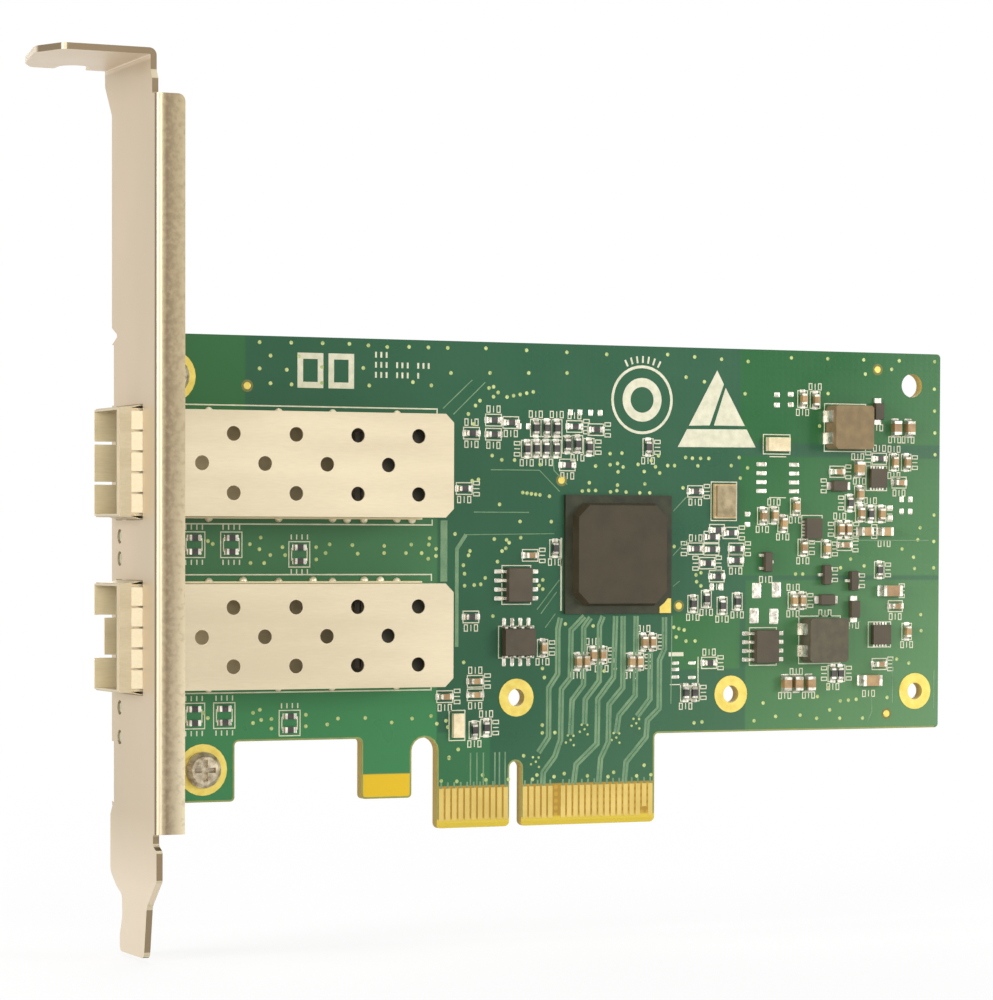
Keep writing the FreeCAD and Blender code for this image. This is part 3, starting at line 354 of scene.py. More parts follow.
# %% A small workshop for finishes
def ink(red, green, blue):
    """A colour given as screen values from 0 to 255, as the linear values that a shader needs."""
    values = np.array([red, green, blue]) / 255
    linear = np.where(values <= 0.04045, values / 12.92, ((values + 0.055) / 1.055) ** 2.4)
    return (*(float(v) for v in linear), 1.0)


class Finish:
    """One node material in the making, with short names for the nodes that this card's finishes share."""

    def __init__(self, name, metallic=0.0, specular=0.5):
        self.material = bpy.data.materials.new(name)
        self.material.use_nodes = True
        self.tree = self.material.node_tree
        self.shader = self.tree.nodes["Principled BSDF"]
        self.shader.inputs["Metallic"].default_value = metallic
        self.shader.inputs["Specular IOR Level"].default_value = specular
        place = self.tree.nodes.new("ShaderNodeTexCoord")
        scale = self.tree.nodes.new("ShaderNodeMapping")
        scale.inputs["Scale"].default_value = (1000, 1000, 1000)
        self.tree.links.new(place.outputs["Object"], scale.inputs["Vector"])
        self.millimetres = scale.outputs["Vector"]
        self.facing = place.outputs["Normal"]

    def node(self, kind, inputs=(), **settings):
        """Adds a node. inputs are (socket, value or output) pairs, and settings are its properties."""
        made = self.tree.nodes.new("ShaderNode" + kind)
        for key, value in settings.items():
            setattr(made, key, value)
        for socket, value in inputs:
            if isinstance(value, bpy.types.NodeSocket):
                self.tree.links.new(value, made.inputs[socket])
            else:
                made.inputs[socket].default_value = value
        return made.outputs[0]

    def noise(self, size, detail=2.0, stretch=(1, 1, 1)):
        """Noise whose patches are about size millimetres across, times the stretch along each axis."""
        scale = [1 / (size * s) for s in stretch]
        place = self.node("Mapping", [("Vector", self.millimetres), ("Scale", scale)])
        return self.node("TexNoise", [("Vector", place), ("Scale", 1.0), ("Detail", detail)])

    def range(self, value, low, high, start=0.3, end=0.7):
        """Carries a value from start to end over to the range from low to high, and stops there."""
        return self.node("MapRange", [("Value", value), ("From Min", start), ("From Max", end),
                                      ("To Min", low), ("To Max", high)])

    def maths(self, operation, first, second=0.0):
        return self.node("Math", [(0, first), (1, second)], operation=operation)

    def mix(self, share, first, second):
        """A colour between two, by a share from nought to one."""
        mixer = self.tree.nodes.new("ShaderNodeMix")
        mixer.data_type = "RGBA"
        colours = [s for s in mixer.inputs if s.type == "RGBA"]
        for socket, value in ((mixer.inputs[0], share), (colours[0], first), (colours[1], second)):
            if isinstance(value, bpy.types.NodeSocket):
                self.tree.links.new(value, socket)
            else:
                socket.default_value = value
        return [s for s in mixer.outputs if s.type == "RGBA"][0]

    def done(self, colour, roughness, height, bump):
        """Joins the colour, the roughness and a bump whose full height is given in millimetres."""
        self.tree.links.new(colour, self.shader.inputs["Base Color"])
        self.tree.links.new(roughness, self.shader.inputs["Roughness"])
        normal = self.node("Bump", [("Height", height), ("Distance", bump / 1000)])
        self.tree.links.new(normal, self.shader.inputs["Normal"])
        return self.material


def mottled(name, darker, lighter, rough, patch, grit, bump, metallic=0.0, specular=0.5, stretch=(1, 1, 1)):
    """The common finish: two tones in patches, a wandering roughness, and a fine grit as bump."""
    f = Finish(name, metallic, specular)
    tone = f.noise(patch, 3.0, stretch)
    grain = f.noise(grit, 2.0, stretch)
    both = f.maths("ADD", f.maths("MULTIPLY", tone, 0.7), f.maths("MULTIPLY", grain, 0.3))
    return f.done(f.mix(f.range(both, 0, 1, 0.38, 0.62), ink(*darker), ink(*lighter)),
                  f.range(tone, rough[0], rough[1]), grain, bump)


print("middle grey of the screen in linear light:", round(ink(128, 128, 128)[0], 3))


# %% [markdown]
# ### The board's own finish
#
# A board is glass cloth in resin, covered by a green varnish over the copper. The varnish looks darker
# where bare resin lies under it and lighter over copper, so broad areas of copper show as lighter fields
# with straight edges. The varnish stops a little inside the board's edges, over the gold contacts and on
# the small guide tab, and there the yellow resin shows. One material can hold all of this, because it
# knows where on the board it is.

# %% Green varnish over glass cloth
def step_at(f, value, edge, blur=0.15):
    """Nought below an edge, one above it, both in millimetres."""
    return f.range(value, 0, 1, edge - blur, edge + blur)


def inside(f, x, z, box, blur=0.15):
    """One inside a box of (x low, x high, z low, z high), nought outside."""
    left, right, bottom, top = box
    sides = [step_at(f, x, left, blur), f.maths("SUBTRACT", 1.0, step_at(f, x, right, blur)),
             step_at(f, z, bottom, blur), f.maths("SUBTRACT", 1.0, step_at(f, z, top, blur))]
    total = sides[0]
    for side in sides[1:]:
        total = f.maths("MULTIPLY", total, side)
    return total


BOARD_LEFT, BOARD_RIGHT, BOARD_TOP = low.x * 1000, high.x * 1000, high.z * 1000
MASK_STOP = 5.95
BEVEL_END = 1.3
CONTACT_AREA = (-13.0, 30.0, -1.0, 10.0)
GUIDE_TAB = (-24.5, -15.5, 4.0, 7.93)
COPPER_FIELDS = [(36.0, BOARD_RIGHT, 55.0, BOARD_TOP), (36.0, BOARD_RIGHT, 35.6, 53.0),
                 (37.0, BOARD_RIGHT, 13.0, 34.9), (25.0, 36.0, 22.0, 30.0)]
LUG_FIELDS = [(-60.0, -41.0, 58.0, BOARD_TOP)]
# painted light: a lighter green in the strip between the cages, where the cages' shade falls
PAINTED_LIGHT_STRIP_FIELDS = [(-60.0, -12.2, 34.0, 43.8)]
# partly the copper field under the lower cage, partly painted light where the cage's shade falls
GROUND_COPPER_AND_PAINTED_LIGHT_FIELDS = [(-60.0, -12.2, 3.0, 20.5)]
GROUND_EDGE_FIELDS = [(-12.2, -4.0, 5.9, 13.5)]


def board_finish():
    """Varnish in fields of several greens, lightened towards the lower right by a painted sheen and
    in the strips beside the cages by painted light, and bare resin on the edges, contacts and guide tab.
    """
    f = Finish("green_varnish", specular=0.3)
    axes = f.tree.nodes.new("ShaderNodeSeparateXYZ")
    f.tree.links.new(f.millimetres, axes.inputs[0])
    x, z = axes.outputs["X"], axes.outputs["Z"]
    cloud = f.noise(9.0, 3.0)
    weave = f.maths("MULTIPLY",
                    f.node("TexWave", [("Vector", f.millimetres), ("Scale", 0.32), ("Distortion", 0.4)],
                           bands_direction="X"),
                    f.node("TexWave", [("Vector", f.millimetres), ("Scale", 0.32), ("Distortion", 0.4)],
                           bands_direction="Z"))
    # painted sheen: the varnish and the copper fields grow lighter towards the lower right, standing in for a
    # soft reflection
    slope = f.range(f.maths("SUBTRACT", x, z), 0, 1, -15, 55)
    varnish = f.mix(slope, ink(34, 80, 54), ink(72, 106, 76))
    varnish = f.mix(f.range(cloud, 0, 0.3), varnish, ink(36, 82, 50))
    for fields, tone in ((COPPER_FIELDS, f.mix(slope, ink(26, 86, 40), ink(86, 124, 82))),
                         (LUG_FIELDS, ink(40, 92, 48)),
                         (PAINTED_LIGHT_STRIP_FIELDS, ink(54, 101, 62)),
                         (GROUND_COPPER_AND_PAINTED_LIGHT_FIELDS, ink(50, 112, 66)),
                         (GROUND_EDGE_FIELDS, ink(42, 95, 57))):
        covered = 0.0
        for field in fields:
            covered = f.maths("ADD", covered, inside(f, x, z, field))
        varnish = f.mix(f.maths("MINIMUM", covered, 1.0), varnish, tone)
    resin = f.mix(f.range(weave, 0, 1, 0.1, 0.6), ink(154, 120, 38), ink(172, 138, 50))
    resin = f.mix(step_at(f, z, BEVEL_END), ink(192, 168, 54), resin)
    guide = inside(f, x, z, GUIDE_TAB, 0.1)
    resin = f.mix(guide, resin, ink(202, 166, 22))
    faces = f.tree.nodes.new("ShaderNodeSeparateXYZ")
    f.tree.links.new(f.facing, faces.inputs[0])
    cut_edge = f.maths("LESS_THAN", f.maths("ABSOLUTE", faces.outputs["Y"]), 0.7)
    resin = f.mix(cut_edge, resin, f.mix(f.range(cloud, 0, 1), ink(158, 134, 62), ink(172, 148, 74)))
    bare = f.maths("SUBTRACT", 1.0, step_at(f, z, MASK_STOP, 0.08))
    bare = f.maths("MULTIPLY", bare, inside(f, x, z, CONTACT_AREA))
    bare = f.maths("MAXIMUM", f.maths("MAXIMUM", bare, guide), cut_edge)
    colour = f.mix(bare, varnish, resin)
    rough = f.mix(bare, (0.30, 0.30, 0.30, 1), (0.62, 0.62, 0.62, 1))
    height = f.maths("ADD", f.maths("MULTIPLY", weave, 0.35), f.maths("MULTIPLY", f.noise(1.4), 0.65))
    return f.done(colour, f.maths("ADD", rough, f.range(cloud, -0.04, 0.05)), height, 0.012)


GREEN_VARNISH = board_finish()
print("board finish:", len(GREEN_VARNISH.node_tree.nodes), "nodes")

# %% [markdown]
# ### Metals, plastics and ceramics
#
# The bracket is nickel-plated steel with a satin face, and the cages are a brighter tinned sheet with the
# streaks of the rolling mill along their length. Gold contacts are smooth, solder is bright and uneven.
# The black chips are filled epoxy with a fine matt grit. Each real material gets its own patches and grit.

# %% The other finishes
FOLD_X = -57.9             # the flange runs from its fold to its free edge
FREE_EDGE_X = -55.4
FLANGE_LOW, FLANGE_HIGH = 1.5, 99.1
TAB_UNDERSIDE = 103.6


def bracket_finish():
    """Nickel-plated sheet. The flat plate is lighter at its foot and on its top tab. The fold has painted
    shade where it starts and a painted highlight where it ends, and the long flange has a painted
    reflection, dark by the fold and lighter towards its free edge and lower down, with spots."""
    f = Finish("satin_bracket_steel", metallic=0.6)
    faces = f.tree.nodes.new("ShaderNodeSeparateXYZ")
    f.tree.links.new(f.facing, faces.inputs[0])
    sideways = f.maths("ABSOLUTE", faces.outputs["Y"])
    cloud = f.noise(11.0, 3.0, (1, 1, 3))
    spots = f.noise(1.3, 3.0)
    speckle = f.noise(0.8, 4.0)
    grain = f.noise(0.25, 2.0, (1, 1, 3))
    place = f.tree.nodes.new("ShaderNodeSeparateXYZ")
    f.tree.links.new(f.millimetres, place.inputs[0])
    x, z = place.outputs["X"], place.outputs["Z"]

    ends = f.maths("MAXIMUM", f.range(z, 1, 0, -6, 4), step_at(f, z, TAB_UNDERSIDE))
    plate = f.mix(f.range(cloud, 0, 1), ink(190, 173, 146), ink(201, 184, 158))
    plate = f.mix(ends, plate, ink(218, 202, 178))

    # painted highlight on the flange's rounded free edge, brighter lower down
    free_edge_painted_highlight = f.mix(f.range(z, 1, 0, 10, 60), ink(168, 153, 121), ink(204, 191, 161))
    # painted reflection: the flange is dark by the fold and lighter towards its free edge
    flange_spots_and_painted_light = f.mix(f.range(x, 0, 1, FOLD_X, FREE_EDGE_X), ink(124, 107, 83), free_edge_painted_highlight)
    # painted highlight along the flange next to the fold
    flange_spots_and_painted_light = f.mix(f.range(x, 1, 0, FOLD_X - 0.8, FOLD_X), flange_spots_and_painted_light, ink(180, 166, 134))
    flange_spots_and_painted_light = f.mix(f.range(speckle, 0, 0.24, 0.48, 0.66), flange_spots_and_painted_light, ink(182, 167, 134))
    flange_spots_and_painted_light = f.mix(f.range(speckle, 0.24, 0, 0.34, 0.50), flange_spots_and_painted_light, ink(104, 89, 66))
    # faces turned to the side take the flange's spots and painted light, the rest the plate's tones
    colour = f.mix(f.range(sideways, 0, 1, 0.93, 0.99), plate, flange_spots_and_painted_light)

    cut_ends = f.maths("MAXIMUM", step_at(f, z, FLANGE_HIGH),
                       f.maths("SUBTRACT", 1.0, step_at(f, z, FLANGE_LOW)))
    colour = f.mix(f.maths("MULTIPLY", cut_ends, step_at(f, sideways, 0.9, 0.1)), colour, ink(126, 109, 84))
    # painted shade where the fold starts and a painted highlight where it ends, chosen by the way each face
    # turns
    for start, end, tone in ((0.25, 0.60, ink(116, 101, 78)), (0.70, 0.97, ink(190, 178, 150))):
        within = f.maths("MULTIPLY", step_at(f, sideways, start, 0.1), f.maths("LESS_THAN", sideways, end))
        colour = f.mix(within, colour, tone)
    height = f.maths("ADD", f.maths("MULTIPLY", grain, 0.5), f.maths("MULTIPLY", spots, 0.5))
    return f.done(colour, f.range(cloud, 0.38, 0.50), height, 0.010)


BRACKET_STEEL = bracket_finish()
CAGE_STEEL = mottled("rolled_cage_steel", (199, 185, 156), (207, 194, 165), (0.32, 0.42), 7.0, 0.25,
                     0.006, metallic=0.72, stretch=(7, 1, 1))
# painted light: a lighter, less metallic copy of the cage steel for the cage floors, so the inside of each
# cage looks lit
PAINTED_LIGHT_CAGE_FLOOR_STEEL = mottled("cage_floor_steel_painted_light", (206, 190, 150), (222, 206, 166), (0.40, 0.55), 5.0, 0.25,
                     0.006, metallic=0.3, stretch=(7, 1, 1))
SPRING_STEEL = mottled("spring_steel", (186, 172, 142), (198, 185, 156), (0.42, 0.54), 3.0, 0.2,
                       0.004, metallic=0.5, stretch=(4, 1, 1))
SCREW_STEEL = mottled("bright_screw_steel", (134, 120, 96), (210, 197, 170), (0.28, 0.42), 1.0, 0.12,
                      0.006, metallic=0.65)
CONTACT_GOLD = mottled("contact_gold", (189, 163, 84), (201, 175, 98), (0.34, 0.44), 5.0, 0.12,
                       0.003, metallic=0.45)
GOLD = mottled("soft_ring_gold", (202, 178, 78), (214, 194, 98), (0.36, 0.48), 1.6, 0.12,
               0.004, metallic=0.4)
SOLDER = mottled("tinned_solder", (170, 164, 148), (232, 228, 214), (0.20, 0.42), 0.9, 0.12,
                 0.010, metallic=0.75)
CAGE_SOLDER = mottled("bright_cage_solder", (204, 194, 162), (226, 216, 186), (0.24, 0.40), 0.9, 0.12,
                      0.006, metallic=0.4)
CHIP_EPOXY = mottled("black_moulding_epoxy", (66, 58, 44), (78, 70, 54), (0.48, 0.62), 3.0, 0.10,
                     0.008, specular=0.3)
CAP_EPOXY = mottled("controller_epoxy", (54, 47, 32), (64, 57, 41), (0.48, 0.62), 4.0, 0.10,
                    0.008, specular=0.25)
SUBSTRATE = mottled("dark_substrate", (38, 40, 26), (54, 56, 38), (0.40, 0.55), 2.2, 0.12, 0.004,
                    specular=0.25)
BROWN_FERRITE = mottled("pressed_brown_powder", (112, 94, 66), (130, 111, 78), (0.55, 0.75), 1.4, 0.10,
                        0.014, specular=0.3)
GREY_FERRITE = mottled("pressed_grey_powder", (72, 67, 52), (88, 82, 65), (0.55, 0.75), 1.4, 0.10,
                       0.014, specular=0.3)
CRYSTAL_LID = mottled("crystal_lid_metal", (132, 118, 88), (158, 143, 112), (0.28, 0.42), 1.2, 0.12,
                      0.005, metallic=0.6)
CRYSTAL_FRAME = mottled("fired_crystal_frame", (170, 144, 100), (196, 172, 128), (0.35, 0.50), 1.2, 0.12,
                        0.006)
CREAM_CERAMIC = mottled("cream_ceramic", (196, 180, 142), (222, 206, 170), (0.35, 0.50), 1.4, 0.12, 0.006)
TAN_CERAMIC = mottled("fired_tan_ceramic", (134, 104, 68), (172, 140, 94), (0.35, 0.55), 2.6, 0.12, 0.006)
BLACK_GLAZE = mottled("black_resistor_glaze", (40, 36, 34), (66, 60, 56), (0.28, 0.45), 0.9, 0.10, 0.004)
LAMP_BODY = mottled("lamp_moulding", (196, 190, 176), (214, 208, 194), (0.42, 0.55), 1.0, 0.10, 0.004)
LAMP_LENS = mottled("lamp_lens", (150, 146, 118), (178, 174, 140), (0.12, 0.22), 0.8, 0.15, 0.003)
CONNECTOR_PLASTIC = mottled("connector_moulding", (92, 88, 76), (108, 103, 90), (0.45, 0.60), 2.5, 0.12,
                            0.006)
CONTACT_METAL = mottled("contact_metal", (196, 170, 110), (226, 204, 150), (0.25, 0.38), 0.9, 0.12,
                        0.004, metallic=0.8)
MASKED_COPPER = mottled("copper_under_varnish", (84, 118, 84), (104, 134, 96), (0.26, 0.36), 2.4, 0.30,
                        0.006)
VIA_METAL = mottled("varnished_via", (138, 154, 90), (182, 190, 124), (0.28, 0.45), 1.1, 0.12, 0.006,
                    metallic=0.2)
WHITE_INK = mottled("white_board_ink", (186, 184, 158), (206, 202, 178), (0.50, 0.66), 1.2, 0.10, 0.006)
BARE_RESIN = mottled("bare_resin_ring", (84, 92, 40), (112, 104, 44), (0.50, 0.65), 0.6, 0.08, 0.004)
EDGE_RIM = mottled("bare_resin_rim", (112, 122, 64), (134, 136, 62), (0.50, 0.65), 1.2, 0.08, 0.004)
print("finishes:", len(bpy.data.materials))

# %% Give every CAD part its finish
BY_SLOT = {
    "board_laminate": GREEN_VARNISH, "bracket_steel": BRACKET_STEEL, "screw_steel": SCREW_STEEL,
    "gold_plate": GOLD, "substrate_laminate": SUBSTRATE, "chip_mould": CHIP_EPOXY, "tin_plate": SOLDER,
    "brown_ferrite": BROWN_FERRITE, "grey_ferrite": GREY_FERRITE, "crystal_lid": CRYSTAL_LID,
    "tan_ceramic": TAN_CERAMIC, "black_film": BLACK_GLAZE, "lamp_plastic": LAMP_BODY,
    "lamp_lens": LAMP_LENS, "cage_steel": CAGE_STEEL, "spring_steel": SPRING_STEEL,
    "connector_plastic": CONNECTOR_PLASTIC, "contact_metal": CONTACT_METAL}
for node in nodes.values():
    for place in node.material_slots:
        place.material = BY_SLOT[place.name.split(".")[0]]
BY_NODE = {
    "edge_fingers_front": CONTACT_GOLD, "edge_fingers_back": CONTACT_GOLD, "controller_cap": CAP_EPOXY,
    "small_crystal": CREAM_CERAMIC, "line_filter": CREAM_CERAMIC, "upper_cage_base": PAINTED_LIGHT_CAGE_FLOOR_STEEL,
    "lower_cage_base": PAINTED_LIGHT_CAGE_FLOOR_STEEL, "main_crystal_base": CRYSTAL_FRAME}
for name, finish in BY_NODE.items():
    nodes[name].material_slots[0].material = finish
print("finished CAD parts:", len(nodes))

# %% [markdown]
# ## Copper tracks under the varnish
#
# The controller talks to the computer over pairs of tracks that run side by side from under the chip to
# the gold contacts, jogging around the small capacitors. Under the varnish they are only 0.035 mm high,
# but they catch the light as paler lines. Each is a low bar along a line of corner points, and a pair is
# the same line drawn twice, a little to either side.

# %% Tracks
TRACK_RISE = 0.035
PAIR_WIDTH, PAIR_SHIFT = 0.42, 0.24
FINE_WIDTH, LEAD_WIDTH, BACK_BUS_WIDTH = 0.18, 0.26, 0.2
STUB_WIDTH, STUB_RISE = 0.3, 0.025     # above each gold contact, and lower than the tracks it may meet
PAIRS = [
    [(7.0, 29.6), (6.6, 28.0), (6.6, 21.6), (5.2, 19.6), (5.2, 12.6), (3.6, 10.4)],
    [(10.8, 29.8), (8.7, 27.8), (8.6, 21.0), (7.2, 19.4), (7.1, 12.2), (6.2, 9.8), (4.4, 7.6), (4.3, 5.8)],
    [(11.8, 29.6), (10.7, 28.2), (10.7, 20.0), (8.9, 17.8), (8.7, 12.8)],
    [(13.8, 29.8), (13.2, 28.4), (13.2, 20.5), (11.0, 17.9), (10.9, 14.3)],
    [(15.8, 29.8), (15.5, 21.0), (13.0, 17.9), (12.9, 11.5), (9.6, 8.6), (9.2, 5.8)],
    [(17.0, 29.8), (17.0, 19.5), (14.8, 17.1), (14.7, 11.7), (13.5, 9.4), (13.2, 5.8)],
    [(19.1, 29.8), (19.0, 18.3), (16.4, 15.5), (16.0, 12.9)],
    [(21.4, 24.5), (21.4, 17.8), (19.3, 15.3)],
    [(23.7, 29.6), (23.7, 25.0), (22.9, 23.4), (22.9, 16.4), (21.0, 14.7), (20.8, 12.3), (17.6, 8.8),
     (17.3, 5.8)],
]
BROAD = [([(-11.2, 43.4), (-11.2, 34.8)], 1.1), ([(-9.2, 25.6), (-9.2, 39.4), (-7.8, 41.4)], 0.6),
         ([(-7.8, 41.4), (6.0, 41.6)], 0.16)]
FINE = [[(-11.4, 59.1), (-6.9, 63.2)], [(-9.8, 58.3), (-4.9, 62.9)],
        [(24.9, 29.8), (24.8, 17.0)], [(61.9, 23.2), (61.9, 16.6)],
        [(58.3, 17.6), (58.4, 15.4), (57.6, 13.8)], [(69.1, 21.4), (69.1, 15.6)],
        [(53.6, 26.6), (54.8, 28.4), (56.4, 28.8)], [(53.4, 23.0), (53.6, 26.6)],
        [(3.3, 30.8), (6.8, 35.0)], [(3.9, 30.2), (6.4, 33.3)], [(4.6, 28.2), (6.2, 30.2)],
        [(25.0, 44.9), (27.2, 47.0)], [(25.0, 38.5), (27.4, 40.8)], [(25.0, 34.0), (26.1, 34.8)],
        [(5.6, 54.2), (5.9, 50.6), (8.0, 48.6)], [(-4.0, 50.6), (3.6, 50.6), (6.8, 47.6)],
        [(-6.6, 44.6), (2.0, 44.6)], [(52.0, 40.8), (68.0, 40.8)]]
FINGER_LEADS = [[(x, 10.6), (x, 6.0)] for x in (-7.0, -6.0, -5.0, -3.2, -2.5, -1.6)]
track_shapes = [bar(path, PAIR_WIDTH, TRACK_RISE, shift)
                for path in PAIRS for shift in (-PAIR_SHIFT, PAIR_SHIFT)]
track_shapes += [bar(path, width, TRACK_RISE) for path, width in BROAD]
track_shapes += [bar(path, FINE_WIDTH, TRACK_RISE) for path in FINE]
track_shapes += [bar(path, LEAD_WIDTH, TRACK_RISE) for path in FINGER_LEADS]
finger_x = solids_in("edge_fingers_front")[:, :, 0].mean(axis=1)
track_shapes += [bar([(x, 5.5), (x, 6.5)], STUB_WIDTH, STUB_RISE) for x in finger_x]
piece("copper_tracks", track_shapes, MASKED_COPPER)

# %% Tracks on the back
BACK_PAIRS = [[(x, 5.8), (x, 10.0 + 0.4 * lane), (x + 2.4, 12.4 + 0.4 * lane), (x + 2.4, 29.0 + lane)]
              for lane, x in enumerate((4.3, 7.3, 10.3, 13.3, 16.3))]
BACK_BUSES = [[(-8.0 + 1.1 * lane, 24.0 + lane), (-8.0 + 1.1 * lane, 36.0 - 0.4 * lane), (2.0 + lane, 46.0),
               (2.0 + lane, 55.0 + lane)] for lane in range(5)]
BACK_BUSES += [[(-51.0, z), (-14.0 - lane, z), (-10.0 - lane, z - 4.0), (-2.0, z - 4.0)]
               for lane, z in enumerate((56.0, 54.8, 33.2, 32.0))]
back_shapes = [bar(path, PAIR_WIDTH, TRACK_RISE, shift, back=True)
               for path in BACK_PAIRS for shift in (-PAIR_SHIFT, PAIR_SHIFT)]
back_shapes += [bar(path, BACK_BUS_WIDTH, TRACK_RISE, back=True) for path in BACK_BUSES]
piece("back_copper_tracks", back_shapes, MASKED_COPPER)

# %% [markdown]
# ## The bare rim of the lower outline
#
# The varnish stops a little short of the routed edge, so a thin olive line of bare resin follows the edge
# tongue, its key, the small tab and the cut-outs. Each stretch is one bar along the outline's corners,
# which are rounded first, and shifted inwards by half its own width and a hair more.

# %% Rim
def soft_path(corners, count=5):
    """Round a line's corners: each (x, z, radius) becomes an arc that touches both of its sides.

    The arc's middle lies on the line that halves the corner, at the radius over the sine of half the
    angle, and the arc turns evenly from one touching point to the other.
    """
    p = np.array([corner[:2] for corner in corners], float)
    path = [p[0]]
    for before, here, after, (_, _, radius) in zip(p, p[1:], p[2:], corners[1:]):
        back_way, on_way = ((other - here) / np.linalg.norm(other - here) for other in (before, after))
        half = math.acos(back_way @ on_way) / 2
        halving = (back_way + on_way) / np.linalg.norm(back_way + on_way)
        middle = here + halving * radius / math.sin(half)
        start, end = (here + way * radius / math.tan(half) - middle for way in (back_way, on_way))
        turn = math.pi - 2 * half
        path += [middle + (math.sin(turn * (1 - t)) * start + math.sin(turn * t) * end) / math.sin(turn)
                 for t in np.linspace(0, 1, count)]
    return path + [p[-1]]


RIM_WIDTH, RIM_RISE = 0.25, 0.012
RIM_SHIFT = -RIM_WIDTH / 2 - 0.01
EDGE_R, POCKET_R = 0.6, 1.9
TONGUE_LEFT, TONGUE_RIGHT = -12.15, 22.15
KEY_HALF, KEY_TOP, KEY_R = 0.95, 9.25, 0.93
RIGHT_EDGE_Z, LEFT_EDGE_Z = 12.8, 12.9
GUIDE_LEFT, GUIDE_RIGHT, GUIDE_FOOT = -23.65, -16.07, 4.48
CORNER_RIGHT, CORNER_FOOT = -42.5, 4.65
RIM_LINES = [
    [(69.2, RIGHT_EDGE_Z, 0), (TONGUE_RIGHT, RIGHT_EDGE_Z, EDGE_R), (TONGUE_RIGHT, BEVEL_END, 0)],
    [(KEY_HALF, BEVEL_END, 0), (KEY_HALF, KEY_TOP, KEY_R), (-KEY_HALF, KEY_TOP, KEY_R),
     (-KEY_HALF, BEVEL_END, 0)],
    [(TONGUE_LEFT, BEVEL_END, 0), (TONGUE_LEFT, LEFT_EDGE_Z, POCKET_R), (GUIDE_RIGHT, LEFT_EDGE_Z, POCKET_R),
     (GUIDE_RIGHT, GUIDE_FOOT, EDGE_R), (GUIDE_LEFT, GUIDE_FOOT, EDGE_R), (GUIDE_LEFT, LEFT_EDGE_Z, EDGE_R),
     (CORNER_RIGHT, LEFT_EDGE_Z, EDGE_R), (CORNER_RIGHT, CORNER_FOOT, EDGE_R),
     (BOARD_LEFT + EDGE_R, CORNER_FOOT, 0)],
]
piece("bare_rim", [bar(soft_path(line), RIM_WIDTH, RIM_RISE, RIM_SHIFT) for line in RIM_LINES],
      EDGE_RIM)

# %% [markdown]
# ## Vias and alignment dots
#
# A via is a plated hole that takes a signal or the ground to another layer. Covered by varnish it shows
# as a small pale dot. Rows of them stitch the ground layers together along the edges, each given by its
# two ends and a count. The others stand singly where a track changes layer, so their places are listed
# area by area. A few tracks end in a small paw of vias.

# %% Rows of vias
VIA_ROWS = [
    (-38.9, 67.7, -29.6, 67.8, 3), (-25.6, 67.8, -19.9, 67.5, 3), (-16.6, 67.6, -10.7, 67.6, 3),
    (-4.8, 67.7, 14.2, 67.3, 4), (24.0, 67.5, 37.2, 66.8, 4), (44.4, 67.5, 68.8, 67.5, 5),
    (-38.9, 64.1, -34.9, 64.0, 2), (-10.2, 64.1, 7.9, 64.5, 4), (27.0, 64.3, 30.0, 63.7, 2),
    (68.8, 63.4, 69.0, 53.6, 4), (68.9, 44.6, 68.9, 36.7, 3), (-1.5, 60.9, 2.6, 61.7, 5),
    (11.4, 47.8, 12.5, 47.8, 2), (1.0, 47.4, 3.7, 47.1, 5), (28.1, 52.6, 30.8, 52.6, 3),
    (25.2, 28.1, 26.9, 27.7, 3), (24.1, 51.5, 25.2, 51.5, 2), (45.3, 35.8, 46.5, 35.8, 2),
    (49.0, 14.5, 56.8, 14.4, 3), (42.1, 14.9, 46.2, 15.0, 2), (53.0, 17.0, 55.7, 17.2, 3),
]
print("rows:", len(VIA_ROWS), "with", sum(row[4] for row in VIA_ROWS), "vias")

